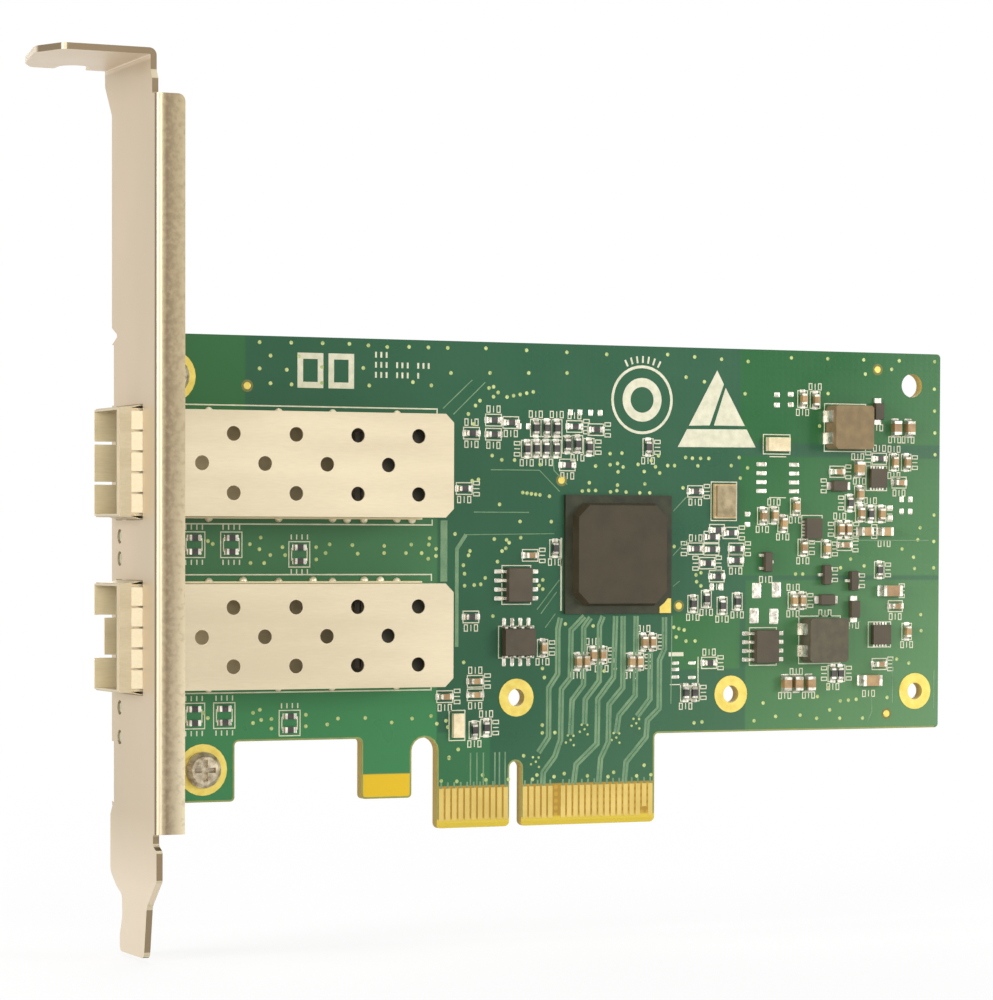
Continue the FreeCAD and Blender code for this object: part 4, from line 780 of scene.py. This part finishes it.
# %% Single vias
SINGLE_VIAS = {
    "between the upper cage and the top edge": [
        (-37.3, 65.9), (-33.1, 65.9), (-29.7, 64.5), (-23.5, 64.5), (-37.3, 62.1), (-34.2, 62.0),
        (-29.7, 62.3), (-22.6, 62.1), (-16.0, 62.7), (-13.2, 62.3)],
    "between the cages": [
        (-46.4, 40.4), (-45.7, 40.0), (-40.3, 40.0), (-38.7, 40.9), (-38.9, 39.3), (-37.3, 38.5),
        (-40.2, 37.4), (-38.2, 37.4), (-35.5, 39.6), (-35.1, 38.5), (-30.5, 39.6), (-28.5, 40.0),
        (-29.1, 38.8), (-30.5, 37.9), (-25.1, 39.9), (-24.3, 38.7), (-20.3, 39.8), (-20.3, 38.8),
        (-17.0, 38.8), (-16.2, 40.0), (-13.4, 40.9), (-13.5, 40.0), (-14.6, 38.8), (-13.6, 38.0),
        (-12.4, 39.4), (-12.4, 38.4)],
    "under the lower cage": [
        (-47.0, 16.9), (-46.4, 16.2), (-39.8, 16.8), (-38.8, 17.2), (-39.8, 15.4), (-38.6, 15.8),
        (-37.1, 15.9), (-37.1, 14.6), (-32.0, 16.4), (-32.0, 14.8), (-28.8, 15.0), (-27.2, 15.8),
        (-23.1, 15.8), (-19.1, 15.1), (-16.0, 15.6), (-13.1, 15.9), (-12.2, 14.8), (-10.3, 9.9),
        (-8.9, 11.1), (-10.8, 15.2), (-10.5, 14.3)],
    "above the edge contacts": [
        (-11.5, 6.7), (-9.1, 6.6), (-5.1, 7.4), (-4.6, 6.7), (-1.1, 6.7), (2.7, 6.6), (3.4, 7.2), (6.1, 6.9),
        (7.7, 7.3), (11.4, 6.9), (14.7, 6.7), (15.6, 7.3), (19.3, 6.7), (20.5, 8.2), (21.6, 6.8), (1.3, 10.0),
        (-10.3, 10.0), (4.2, 14.3), (4.2, 13.2), (6.2, 13.2)],
    "left of the controller": [
        (-4.3, 62.1), (-3.6, 62.3), (-2.9, 61.5), (-3.6, 60.9), (-5.7, 60.3), (-6.4, 59.6), (-7.5, 58.4),
        (-6.7, 57.0), (-3.8, 52.6), (-2.3, 52.0), (-0.3, 52.0), (3.7, 51.4), (-5.9, 49.2), (-6.9, 49.0),
        (5.2, 46.9), (-2.6, 45.7), (0.6, 43.3), (5.5, 43.3), (-9.5, 41.5), (-3.4, 40.8), (0.7, 41.0),
        (-1.5, 40.7), (-1.1, 40.3), (-1.6, 39.5), (-2.2, 39.1), (-7.2, 39.1), (-7.4, 38.5), (-8.2, 37.1),
        (-8.0, 35.9), (-8.0, 34.2), (-6.5, 34.3), (-5.5, 34.4), (-4.8, 35.3), (-2.9, 37.6), (4.2, 35.0),
        (4.2, 33.7), (3.6, 34.2), (-3.6, 29.9), (-8.1, 23.4), (4.2, 22.4), (4.5, 21.1)],
    "over and under the controller": [
        (14.8, 53.1), (16.7, 53.2), (14.8, 51.5), (16.0, 51.7), (16.9, 51.2), (16.1, 50.5), (12.5, 51.3),
        (19.3, 51.6), (20.3, 50.6), (22.1, 51.3), (22.8, 50.4), (22.6, 52.9), (21.4, 52.2), (11.5, 48.9),
        (10.4, 47.7), (14.9, 47.6), (15.9, 47.8), (16.0, 48.6), (17.4, 47.6), (20.4, 48.8), (19.6, 47.5),
        (21.2, 47.5), (26.6, 48.3), (7.8, 28.7), (12.2, 28.4), (15.8, 22.2), (14.0, 21.9)],
    "right of the controller": [
        (36.7, 62.1), (50.6, 62.4), (56.9, 65.4), (61.4, 66.2), (27.0, 52.7), (29.0, 51.5), (34.5, 51.6),
        (35.8, 52.8), (37.2, 51.3), (36.0, 49.8), (25.2, 39.8), (28.9, 34.7), (29.6, 34.1), (28.8, 35.7),
        (29.6, 36.0), (27.2, 26.1), (28.7, 26.1), (25.6, 26.7), (44.0, 54.2), (49.2, 57.6), (54.6, 38.0),
        (52.9, 36.7), (56.9, 37.0), (63.4, 39.5), (66.5, 42.7), (66.1, 40.9), (65.4, 38.3), (65.6, 36.6),
        (66.7, 29.7), (66.8, 27.3), (62.6, 23.1), (64.7, 22.5), (50.9, 19.0), (51.2, 15.7), (49.1, 17.7),
        (61.0, 17.4), (40.0, 16.9), (38.5, 14.3), (29.9, 14.3), (28.6, 14.2)],
}
PAWS = [(3.2, 9.1), (10.9, 13.6), (8.7, 12.1), (16.0, 12.3), (19.2, 14.3)]
PAW_VIAS = [(0.0, 0.0), (-0.75, -0.35), (-0.45, 0.65), (0.45, 0.6), (0.5, -0.75)]
ALIGNMENT_DOTS = [(7.1, 49.2), (26.0, 31.2), (59.0, 66.1), (60.9, 15.0), (-40.7, 61.7)]
print("single vias:", {area: len(places) for area, places in SINGLE_VIAS.items()})

# %% Draw the vias
VIA_RADIUS, VIA_RISE = 0.30, 0.03
PAW_RADIUS, PAW_RISE = 0.2, 0.04
DOT_RADIUS, CLEAR_RADIUS = 0.55, 0.85
rows = np.concatenate([np.linspace(row[:2], row[2:4], row[4]) for row in VIA_ROWS])
singles = np.concatenate([np.array(places) for places in SINGLE_VIAS.values()])
paws = (np.array(PAWS)[:, None] + np.array(PAW_VIAS)).reshape(-1, 2)
via_places = np.concatenate([rows, singles, paws])
front_dots = [dots(np.concatenate([rows, singles]), VIA_RADIUS, VIA_RISE), dots(paws, PAW_RADIUS, PAW_RISE)]
piece("front_vias", front_dots, VIA_METAL)
piece("back_vias", [dots(via_places, VIA_RADIUS, VIA_RISE, back=True)], VIA_METAL)
print("vias:", len(via_places), "on each side")

piece("alignment_dots", [dots(ALIGNMENT_DOTS, DOT_RADIUS, 0.04, 0.0, 16)], GOLD)


def rings(places, inner, outer, rise, sides=24):
    """Flat rings: circles of the two radii, joined over the top and closed below the face."""
    p = np.asarray(places, float).reshape(-1, 2)
    turn = np.arange(sides) * 2 * math.pi / sides
    reach = np.array([outer, outer, inner, inner])
    height = np.array([SUNK, rise, rise, SUNK])
    x = p[:, 0, None, None] + reach[None, :, None] * np.cos(turn)
    z = p[:, 1, None, None] + reach[None, :, None] * np.sin(turn)
    return skin(on_board(x, z, height[None, :, None]), ring=True)


piece("alignment_dot_clearings", [rings(ALIGNMENT_DOTS, DOT_RADIUS, CLEAR_RADIUS, 0.008)], BARE_RESIN)

# %% [markdown]
# ## Ends and solder of the small parts
#
# Each small capacitor or resistor is a ceramic brick with a metal cap on both ends, and a curved fillet of
# solder runs from the cap down to the board. The CAD model has only the brick. A cap is a rounded
# rectangle carried a short way along the brick, and a fillet is a hollow-cheeked wedge carried across it.
# Both are made for every end of every part in one array, from the bricks' own boxes.

# %% Caps and fillets
SOLDER_SUNK = -0.005       # caps and fillets reach this far under the face


def ends_of(boxes):
    """Middle, outward direction and sizes of both ends of each box, along its longer side.

    The sizes are the width across the end, the height, and the length of the box.
    """
    size = boxes[:, 1] - boxes[:, 0]
    along_x = size[:, 0] >= size[:, 2]
    way = np.where(along_x[:, None], [[1.0, 0, 0]], [[0, 0, 1.0]])
    across = np.where(along_x[:, None], [[0, 0, 1.0]], [[1.0, 0, 0]])
    length = np.where(along_x, size[:, 0], size[:, 2])
    width = np.where(along_x, size[:, 2], size[:, 0])
    middle = boxes.mean(axis=1)
    middle[:, 1] = 0
    ends = [(middle + sign * way * length[:, None] / 2, sign * way) for sign in (-1, 1)]
    return (np.concatenate([e[0] for e in ends]), np.concatenate([e[1] for e in ends]),
            np.tile(across, (2, 1)), np.tile(width, 2), np.tile(-boxes[:, 0, 1], 2), np.tile(length, 2))


def laid(origin, way, across, out, side, rise):
    """Points at a distance out along each end's direction, to the side, and above the board."""
    up_board = np.array([0.0, -1.0, 0.0])
    return (origin[:, None, None] + way[:, None, None] * out[..., None]
            + across[:, None, None] * side[..., None] + up_board * rise[..., None])


def end_caps(boxes, reach=0.2, proud=0.015):
    """Metal caps: a rounded rectangle a hair larger than the brick, from reach times its length inside
    the end to the end face, where it shrinks as a quarter circle does."""
    origin, way, across, width, height, length = ends_of(boxes)
    cap = length * reach
    face = np.zeros_like(cap)
    out = np.stack([-cap, -cap + 0.01, face - 0.05, face + 0.005, face + proud], axis=1)
    inset = np.array([0.01, 0.0, 0.0, 0.025, 0.07]) - proud
    side, rise = rounded(width[:, None] / 2 - inset, height[:, None] / 2 - inset,
                         np.full(5, 0.07), steps=2)
    rise = np.maximum(rise + height[:, None, None] / 2, SOLDER_SUNK)
    out = np.broadcast_to(out[..., None], side.shape)
    return skin(laid(origin, way, across, out, side, rise))


def fillets(boxes, foot=0.32, climb=0.62, wider=0.05):
    """Solder: a closed wedge whose cheek follows (1 - t) to the power 2.4, from climb times the part's
    height on the end face down to the tip of the foot, and which narrows towards its sides."""
    origin, way, across, width, height, _ = ends_of(boxes)
    t = np.linspace(0, 1, 5)
    out = np.concatenate([[0.0], t, [1.0]]) * foot
    rise = np.concatenate([[SOLDER_SUNK], 0.03 + (1 - t) ** 2.4 * climb, [SOLDER_SUNK]])
    station = np.array([-1.0, -0.86, 0.86, 1.0])
    fullness = np.array([0.55, 1.0, 1.0, 0.55])
    out = np.broadcast_to((out[None, :] * fullness[:, None])[None], (len(width), 4, 7))
    lift = np.where(rise < 0, rise, rise * fullness[:, None])[None] * height[:, None, None]
    side = np.broadcast_to((station[None, :, None] * (width[:, None, None] / 2 + wider)), out.shape)
    return skin(laid(origin, way, across, out, side, lift))


def lands_beyond(boxes, reach=0.62, inside_by=0.25, wider=0.14):
    """A solder land under each end: wider than the part, and longer than its solder."""
    origin, way, across, width, _, _ = ends_of(boxes)
    middle = origin + way * (reach - inside_by) / 2
    size = np.abs(way) * (reach + inside_by) + np.abs(across) * (width + wider)[:, None]
    return np.stack([middle[:, 0], middle[:, 2], size[:, 0], size[:, 2]], axis=1)


piece("small_part_caps", [end_caps(small_parts)], SOLDER)
piece("small_part_lands", [pads(lands_beyond(small_parts), 0.02)], SOLDER)
array_bodies = solids_in("resistor_arrays")
array_wide = array_bodies + [[-0.35, 0, 0], [0.35, 0, 0]]
large_caps = solids_in("large_capacitors")
large_wide = large_caps.copy()
OWN_END = 2.2              # a termination this near to a capacitor's middle is its own
for number, box in enumerate(large_caps):
    near = np.abs(large_ends.mean(axis=1) - box.mean(axis=0)).sum(axis=1) < OWN_END
    large_wide[number] = [large_ends[near][:, 0].min(axis=0), large_ends[near][:, 1].max(axis=0)]
piece("small_part_solder", [fillets(small_parts), fillets(array_wide, 0.25), fillets(large_wide, 0.4)],
      SOLDER)
print("solder at", 2 * len(small_parts), "ends")

# %% [markdown]
# ## Solder round the cages' pins
#
# A cage is pressed into the board by pins along its sides, and the machine that solders the card leaves a
# bright dome round each, larger on the back. A dome is a stack of circles, wide at the board and narrow
# at the top. A few more such joints stand on the front, along both sides of the strip between the cages.

# %% Domes of solder
FRONT_DOME = (0.62, 0.42)  # radius and height
BACK_DOME = (0.9, 0.7)
PIN_X = [-46.3, -36.1, -28.1, -18.4]
PIN_Z = [20.28, 34.78, 43.6, 58.1]
PIN_PLACES = [(x, z) for x in PIN_X for z in PIN_Z]
STRIP_SOLDER = [(x, 43.5) for x in (-25.9, -23.4, -16.1)]
STRIP_SOLDER += [(x, 34.95) for x in (-41.3, -31.0, -23.3, -20.9)]
piece("cage_pin_solder", [domes(PIN_PLACES + STRIP_SOLDER, *FRONT_DOME)], CAGE_SOLDER)
piece("cage_pin_solder_back", [domes(PIN_PLACES, *BACK_DOME, back=True)], CAGE_SOLDER)

# %% [markdown]
# ## Bare solder lands
#
# Some places on the board are left empty, and show the tinned copper lands that wait for a part. Every
# lead of the chips also stands on such a land. A land is a low pillow of solder: a rounded rectangle that
# shrinks as it rises.

# %% Lands
LAND_COLUMNS = [(39.5, 1.7), (44.95, 1.7)]
EMPTY_LANDS = [(x, z, w, 0.62) for x, w in LAND_COLUMNS for z in (51.85, 50.55, 49.25, 47.95)]
EMPTY_LANDS += [(x, z, 1.5, 2.3) for x, z in ((38.8, 33.4), (42.1, 33.5), (38.4, 29.7), (41.7, 29.6))]
EMPTY_LANDS += [(25.5, z, 1.2, 0.5) for z in (22.9, 22.0, 20.9)] + [(28.2, z, 1.2, 0.5) for z in (22.9, 20.8)]
STANDING_PAIRS = [(42.0, 61.3), (44.3, 61.4), (37.2, 43.8), (61.3, 44.9)]
LYING_PAIRS = [(9.2, 58.9), (12.4, 58.9), (32.1, 33.9), (64.0, 46.9), (64.0, 45.1), (1.1, 56.8)]
EMPTY_LANDS += [(x, z + dz, 0.9, 0.75) for x, z in STANDING_PAIRS for dz in (-0.75, 0.75)]
EMPTY_LANDS += [(x + dx, z, 0.75, 0.9) for x, z in LYING_PAIRS for dx in (-0.75, 0.75)]


def lands_under(node, longer):
    """A land under each lead of a chip: the lead's own outline, longer at the outer end."""
    boxes = solids_in(node)
    centre = boxes.mean(axis=1)
    size = boxes[:, 1] - boxes[:, 0]
    body = centre.mean(axis=0)
    along_x = size[:, 0] >= size[:, 2]
    away = np.sign(centre - body)
    x = centre[:, 0] + np.where(along_x, away[:, 0] * longer / 2, 0)
    z = centre[:, 2] + np.where(along_x, 0, away[:, 2] * longer / 2)
    return np.stack([x, z, size[:, 0] + np.where(along_x, longer, 0.2),
                     size[:, 2] + np.where(along_x, 0.2, longer)], axis=1)


chip_lands = np.concatenate([lands_under(node, 0.45) for node in
                             ("memory_chip_leads", "settings_chip_leads", "switch_chip_leads")])
piece("solder_lands", [pads(EMPTY_LANDS, 0.06), pads(chip_lands, 0.035)], SOLDER)

# %% [markdown]
# ## White ink
#
# White ink frames nearly every part and names it in tiny type. The frames are closed bars round each
# part's own box. The names and the larger signs belong to their makers, so this card has plain shapes in
# their places: short strokes and oblongs where a name would be, a ring, a triangle and a few bars.

# %% Frames and plain marks
INK_RISE = 0.014
INK_WIDTH = 0.16
PART_NODES = ["controller_substrate", "memory_chip", "settings_chip", "switch_chip", "upper_power_inductor",
              "lower_power_inductor", "input_regulator", "core_regulator", "auxiliary_regulator",
              "main_crystal_base", "small_crystal", "line_filter", "transistors", "diodes", "resistor_arrays",
              "large_capacitors", "memory_chip_leads", "settings_chip_leads", "switch_chip_leads"]
part_boxes = {node: solids_in(node) for node in PART_NODES}
keep_out = np.concatenate([small_parts, *part_boxes.values(), solids_in("mounting_hole_rings")])


def clear_of(places, boxes, margin):
    """True for the places that lie outside every box's outline on the board, widened by the margin."""
    x, z = places[:, 0, None], places[:, 1, None]
    hit = ((x > boxes[:, 0, 0] - margin) & (x < boxes[:, 1, 0] + margin)
           & (z > boxes[:, 0, 2] - margin) & (z < boxes[:, 1, 2] + margin))
    return ~hit.any(axis=1)


def oblong(x, z, half_x, half_z, width=INK_WIDTH):
    """A closed bar round a middle."""
    return bar([(x - half_x, z - half_z), (x + half_x, z - half_z), (x + half_x, z + half_z),
                (x - half_x, z + half_z)], width, INK_RISE, ring=True)


def stroke(x, start, end, width=INK_WIDTH):
    """An upright bar."""
    return bar([(x, start), (x, end)], width, INK_RISE)


def frame_round(box, margin=0.42):
    """A closed bar round a part's box."""
    x0, z0 = box[0, 0] - margin, box[0, 2] - margin
    x1, z1 = box[1, 0] + margin, box[1, 2] + margin
    return bar([(x0, z0), (x1, z0), (x1, z1), (x0, z1)], INK_WIDTH, INK_RISE, ring=True)


def plain_marks(x, z, upright, count=3, half=0.45, pitch=0.78):
    """A short row of hollow oblongs and single strokes, the size of type but saying nothing."""
    shapes = []
    for number in range(count):
        step = (number - (count - 1) / 2) * pitch
        cx, cz = (x, z + step) if upright else (x + step, z)
        if number % 2 == 0:
            shapes.append(oblong(cx, cz, half, 0.24) if upright else oblong(cx, cz, 0.24, half))
        elif upright:
            shapes.append(bar([(cx - half, cz), (cx + half, cz)], INK_WIDTH, INK_RISE))
        else:
            shapes.append(stroke(cx, cz - half, cz + half))
    return shapes


FRAMED_NODES = ["line_filter", "small_crystal", "input_regulator", "core_regulator", "auxiliary_regulator"]
frame_boxes = np.concatenate([small_parts] + [part_boxes[node] for node in FRAMED_NODES])
ink_shapes = [frame_round(box) for box in frame_boxes]
print("framed parts:", len(frame_boxes))

# %% Frames round the resistor pairs
LOWEST_INK_Z = 13.3
PAIR_HALF_X, PAIR_HALF_Z = 1.55, 1.75
SIDE_LINE_X, SIDE_LINE_HALF = 1.15, 0.9
STROKE_NEAR, STROKE_FAR = 2.05, 2.75   # short strokes stand this far above and below a pair
STROKE_STEPS = (-1.2, -0.4, 0.4, 1.2)
array_boxes = part_boxes["resistor_arrays"]
array_order = np.lexsort((array_boxes[:, 0, 2], array_boxes[:, 0, 0], array_boxes[:, 0, 2] > 25))
pair_frames = []
for first, second in array_boxes[array_order].reshape(-1, 2, 2, 3):
    both = np.stack([np.minimum(first[0], second[0]), np.maximum(first[1], second[1])])
    pair_frames.append(both)
    x, z = both[:, 0].mean(), both[:, 2].mean()
    ink_shapes.append(oblong(x, z, PAIR_HALF_X, PAIR_HALF_Z))
    ink_shapes += [stroke(x + side, z - SIDE_LINE_HALF, z + SIDE_LINE_HALF)
                   for side in (-SIDE_LINE_X, SIDE_LINE_X)]
    strokes = [(z + STROKE_NEAR, z + STROKE_FAR), (max(z - STROKE_FAR, LOWEST_INK_Z), z - STROKE_NEAR)]
    ink_shapes += [stroke(x + step, start, end, INK_WIDTH + 0.04)
                   for start, end in strokes for step in STROKE_STEPS if end - start > 0.3]
taken = np.concatenate([keep_out, [box + [[-1.3, 0, -1.6], [1.3, 0, 1.6]] for box in pair_frames]])
print("framed pairs:", len(pair_frames))

# %% Marks beside the parts
def mark_beside(box, taken):
    """Marks in the first free room below, right of, above or left of a part, and the room they take."""
    x, z = box[:, 0].mean(), box[:, 2].mean()
    half_x, half_z = (box[1, [0, 2]] - box[0, [0, 2]]) / 2
    choices = [(x, z - half_z - 1.15, False), (x + half_x + 1.1, z, True),
               (x, z + half_z + 1.15, False), (x - half_x - 1.1, z, True)]
    for mark_x, mark_z, upright in choices:
        reach = np.array((0.45, 1.0) if upright else (1.0, 0.45))
        grid = np.array([(i, j) for i in (-1, 0, 1) for j in (-1, 0, 1)])
        if clear_of(np.array([mark_x, mark_z]) + grid * reach, taken, 0.2).all():
            room = [[mark_x - reach[0], -1, mark_z - reach[1]], [mark_x + reach[0], 0, mark_z + reach[1]]]
            return plain_marks(mark_x, mark_z, upright), np.concatenate([taken, [room]])
    return [], taken


marked_boxes = np.concatenate([small_parts, small_parts[::2], part_boxes["transistors"], part_boxes["diodes"],
                               part_boxes["large_capacitors"]])
for box in marked_boxes:
    marks, taken = mark_beside(box, taken)
    ink_shapes += marks
print("ink shapes so far:", len(ink_shapes))

# %% The larger plain signs
RING_X, RING_Z = 19.9, 60.9


def circle(radius, count=40):
    """Points round the ring sign's middle, at even steps of the turning angle."""
    turn = np.arange(count) * 2 * math.pi / count
    return np.stack([RING_X + radius * np.cos(turn), RING_Z + radius * np.sin(turn)], axis=1)


ink_shapes += [bar(circle(4.75), 0.42, INK_RISE, ring=True), bar(circle(2.5, 32), 1.3, INK_RISE, ring=True)]
for angle in np.radians(np.arange(62, 125, 9.0)):
    inner, outer = ((RING_X + r * math.cos(angle), RING_Z + r * math.sin(angle)) for r in (5.3, 6.3))
    ink_shapes.append(bar([inner, outer], 0.3, INK_RISE))
ink_shapes += [flat_shape([(25.7, 54.2), (38.5, 54.3), (37.0, 56.9), (27.2, 56.8)], INK_RISE),
               flat_shape([(27.5, 57.3), (30.9, 57.4), (33.2, 63.4), (32.1, 65.4)], INK_RISE),
               flat_shape([(31.6, 57.4), (36.7, 57.4), (33.5, 62.9)], INK_RISE)]
ink_shapes += [oblong(x, 64.0, 1.5, 2.0, 0.85) for x in (-31.4, -26.8)]
TYPE_START, TYPE_PITCH, TYPE_HALF = -21.6, 0.8, 0.4
for z, length in [(66.4, 2.6), (65.0, 8.4), (63.6, 6.6)]:
    for number, offset in enumerate(np.arange(0, length, TYPE_PITCH)):
        if number % 4 != 3:
            ink_shapes.append(stroke(TYPE_START + offset, z - TYPE_HALF, z + TYPE_HALF, 0.3))
print("ink shapes so far:", len(ink_shapes))

# %% Frames of the chips and cages
CHIP_FRAMES = ["memory_chip", "settings_chip", "switch_chip", "main_crystal_base", "upper_power_inductor",
               "lower_power_inductor"]
for node in CHIP_FRAMES:
    ink_shapes += [frame_round(box, 0.3) for box in part_boxes[node]]
CAGE_LINES = [[(-56.4, 42.75), (-13.0, 42.75), (-13.0, 43.5)], [(-56.4, 35.8), (-13.1, 35.8), (-13.1, 34.9)],
              [(-56.4, 19.6), (-13.1, 19.6), (-13.1, 20.4)], [(-56.4, 59.0), (-12.3, 59.0), (-12.3, 58.2)]]
ink_shapes += [bar(line, 0.2, INK_RISE) for line in CAGE_LINES]
ink_shapes.append(stroke(7.1, 30.6, 41.0, 0.28))
ink_shapes += [bar([(40.8, z), (43.6, z)], INK_WIDTH, INK_RISE) for z in (53.0, 47.0)]
ink_shapes.append(bar([(24.4, 24.2), (26.8, 24.2)], 0.6, INK_RISE))
ink_shapes.append(bar([(24.6, 19.8), (29.2, 19.8), (29.2, 23.8)], INK_WIDTH, INK_RISE))
piece("white_ink", ink_shapes, WHITE_INK)

# %% [markdown]
# ## The gold corner of the controller
#
# One corner of the controller's gold ground area is left free of varnish, so the machine that places the
# chip, and the person who checks it, can see which way round it lies.

# %% Gold corner
SUBSTRATE_TOP = -part_boxes["controller_substrate"][0, 0, 1]
CORNER = [(22.6, 30.2), (24.45, 30.2), (24.45, 32.3), (23.9, 32.3), (23.4, 31.7), (22.6, 31.1)]
piece("controller_gold_corner", [flat_shape(CORNER, SUBSTRATE_TOP + 0.02)], GOLD)

# %% [markdown]
# ## The floor and the end of the script
#
# The floor lies just under the lowest point of the bracket.

# %% Floor
FLOOR_GLOW = 0.80
FLOOR_HALF = 3.0
floor_mesh = bpy.data.meshes.new("studio_floor")
floor_level = cad_box[0][2] - 0.0005
span = [(a * FLOOR_HALF, b * FLOOR_HALF) for a, b in ((-1, -1), (1, -1), (1, 1), (-1, 1))]
floor_mesh.from_pydata([(x, y, floor_level) for x, y in span], [], [(0, 1, 2, 3)])
floor = bpy.data.objects.new("studio_floor", floor_mesh)
bpy.context.scene.collection.objects.link(floor)
paper = bpy.data.materials.new("white_paper")
paper.use_nodes = True
paper_nodes, paper_links = paper.node_tree.nodes, paper.node_tree.links
paper_nodes.remove(paper_nodes["Principled BSDF"])
matt = paper_nodes.new("ShaderNodeBsdfDiffuse")
matt.inputs["Color"].default_value = (0.92, 0.92, 0.92, 1)
glow = paper_nodes.new("ShaderNodeEmission")
place = paper_nodes.new("ShaderNodeTexCoord")
reach = paper_nodes.new("ShaderNodeVectorMath")
reach.operation = "LENGTH"
outward = paper_nodes.new("ShaderNodeMapRange")
for socket, value in (("From Min", 0.10), ("From Max", 0.45), ("To Min", FLOOR_GLOW), ("To Max", 1.0)):
    outward.inputs[socket].default_value = value
share = paper_nodes.new("ShaderNodeMath")
share.operation = "MULTIPLY"
paper_links.new(place.outputs["Object"], reach.inputs[0])
paper_links.new(reach.outputs["Value"], outward.inputs["Value"])
paper_links.new(outward.outputs[0], share.inputs[1])
blend = paper_nodes.new("ShaderNodeMixShader")
paper_links.new(seen_directly(paper.node_tree), share.inputs[0])
paper_links.new(share.outputs[0], blend.inputs[0])
paper_links.new(matt.outputs[0], blend.inputs[1])
paper_links.new(glow.outputs[0], blend.inputs[2])
paper_links.new(blend.outputs[0], paper_nodes["Material Output"].inputs["Surface"])
floor_mesh.materials.append(paper)
print("floor at", round(floor_level, 4))
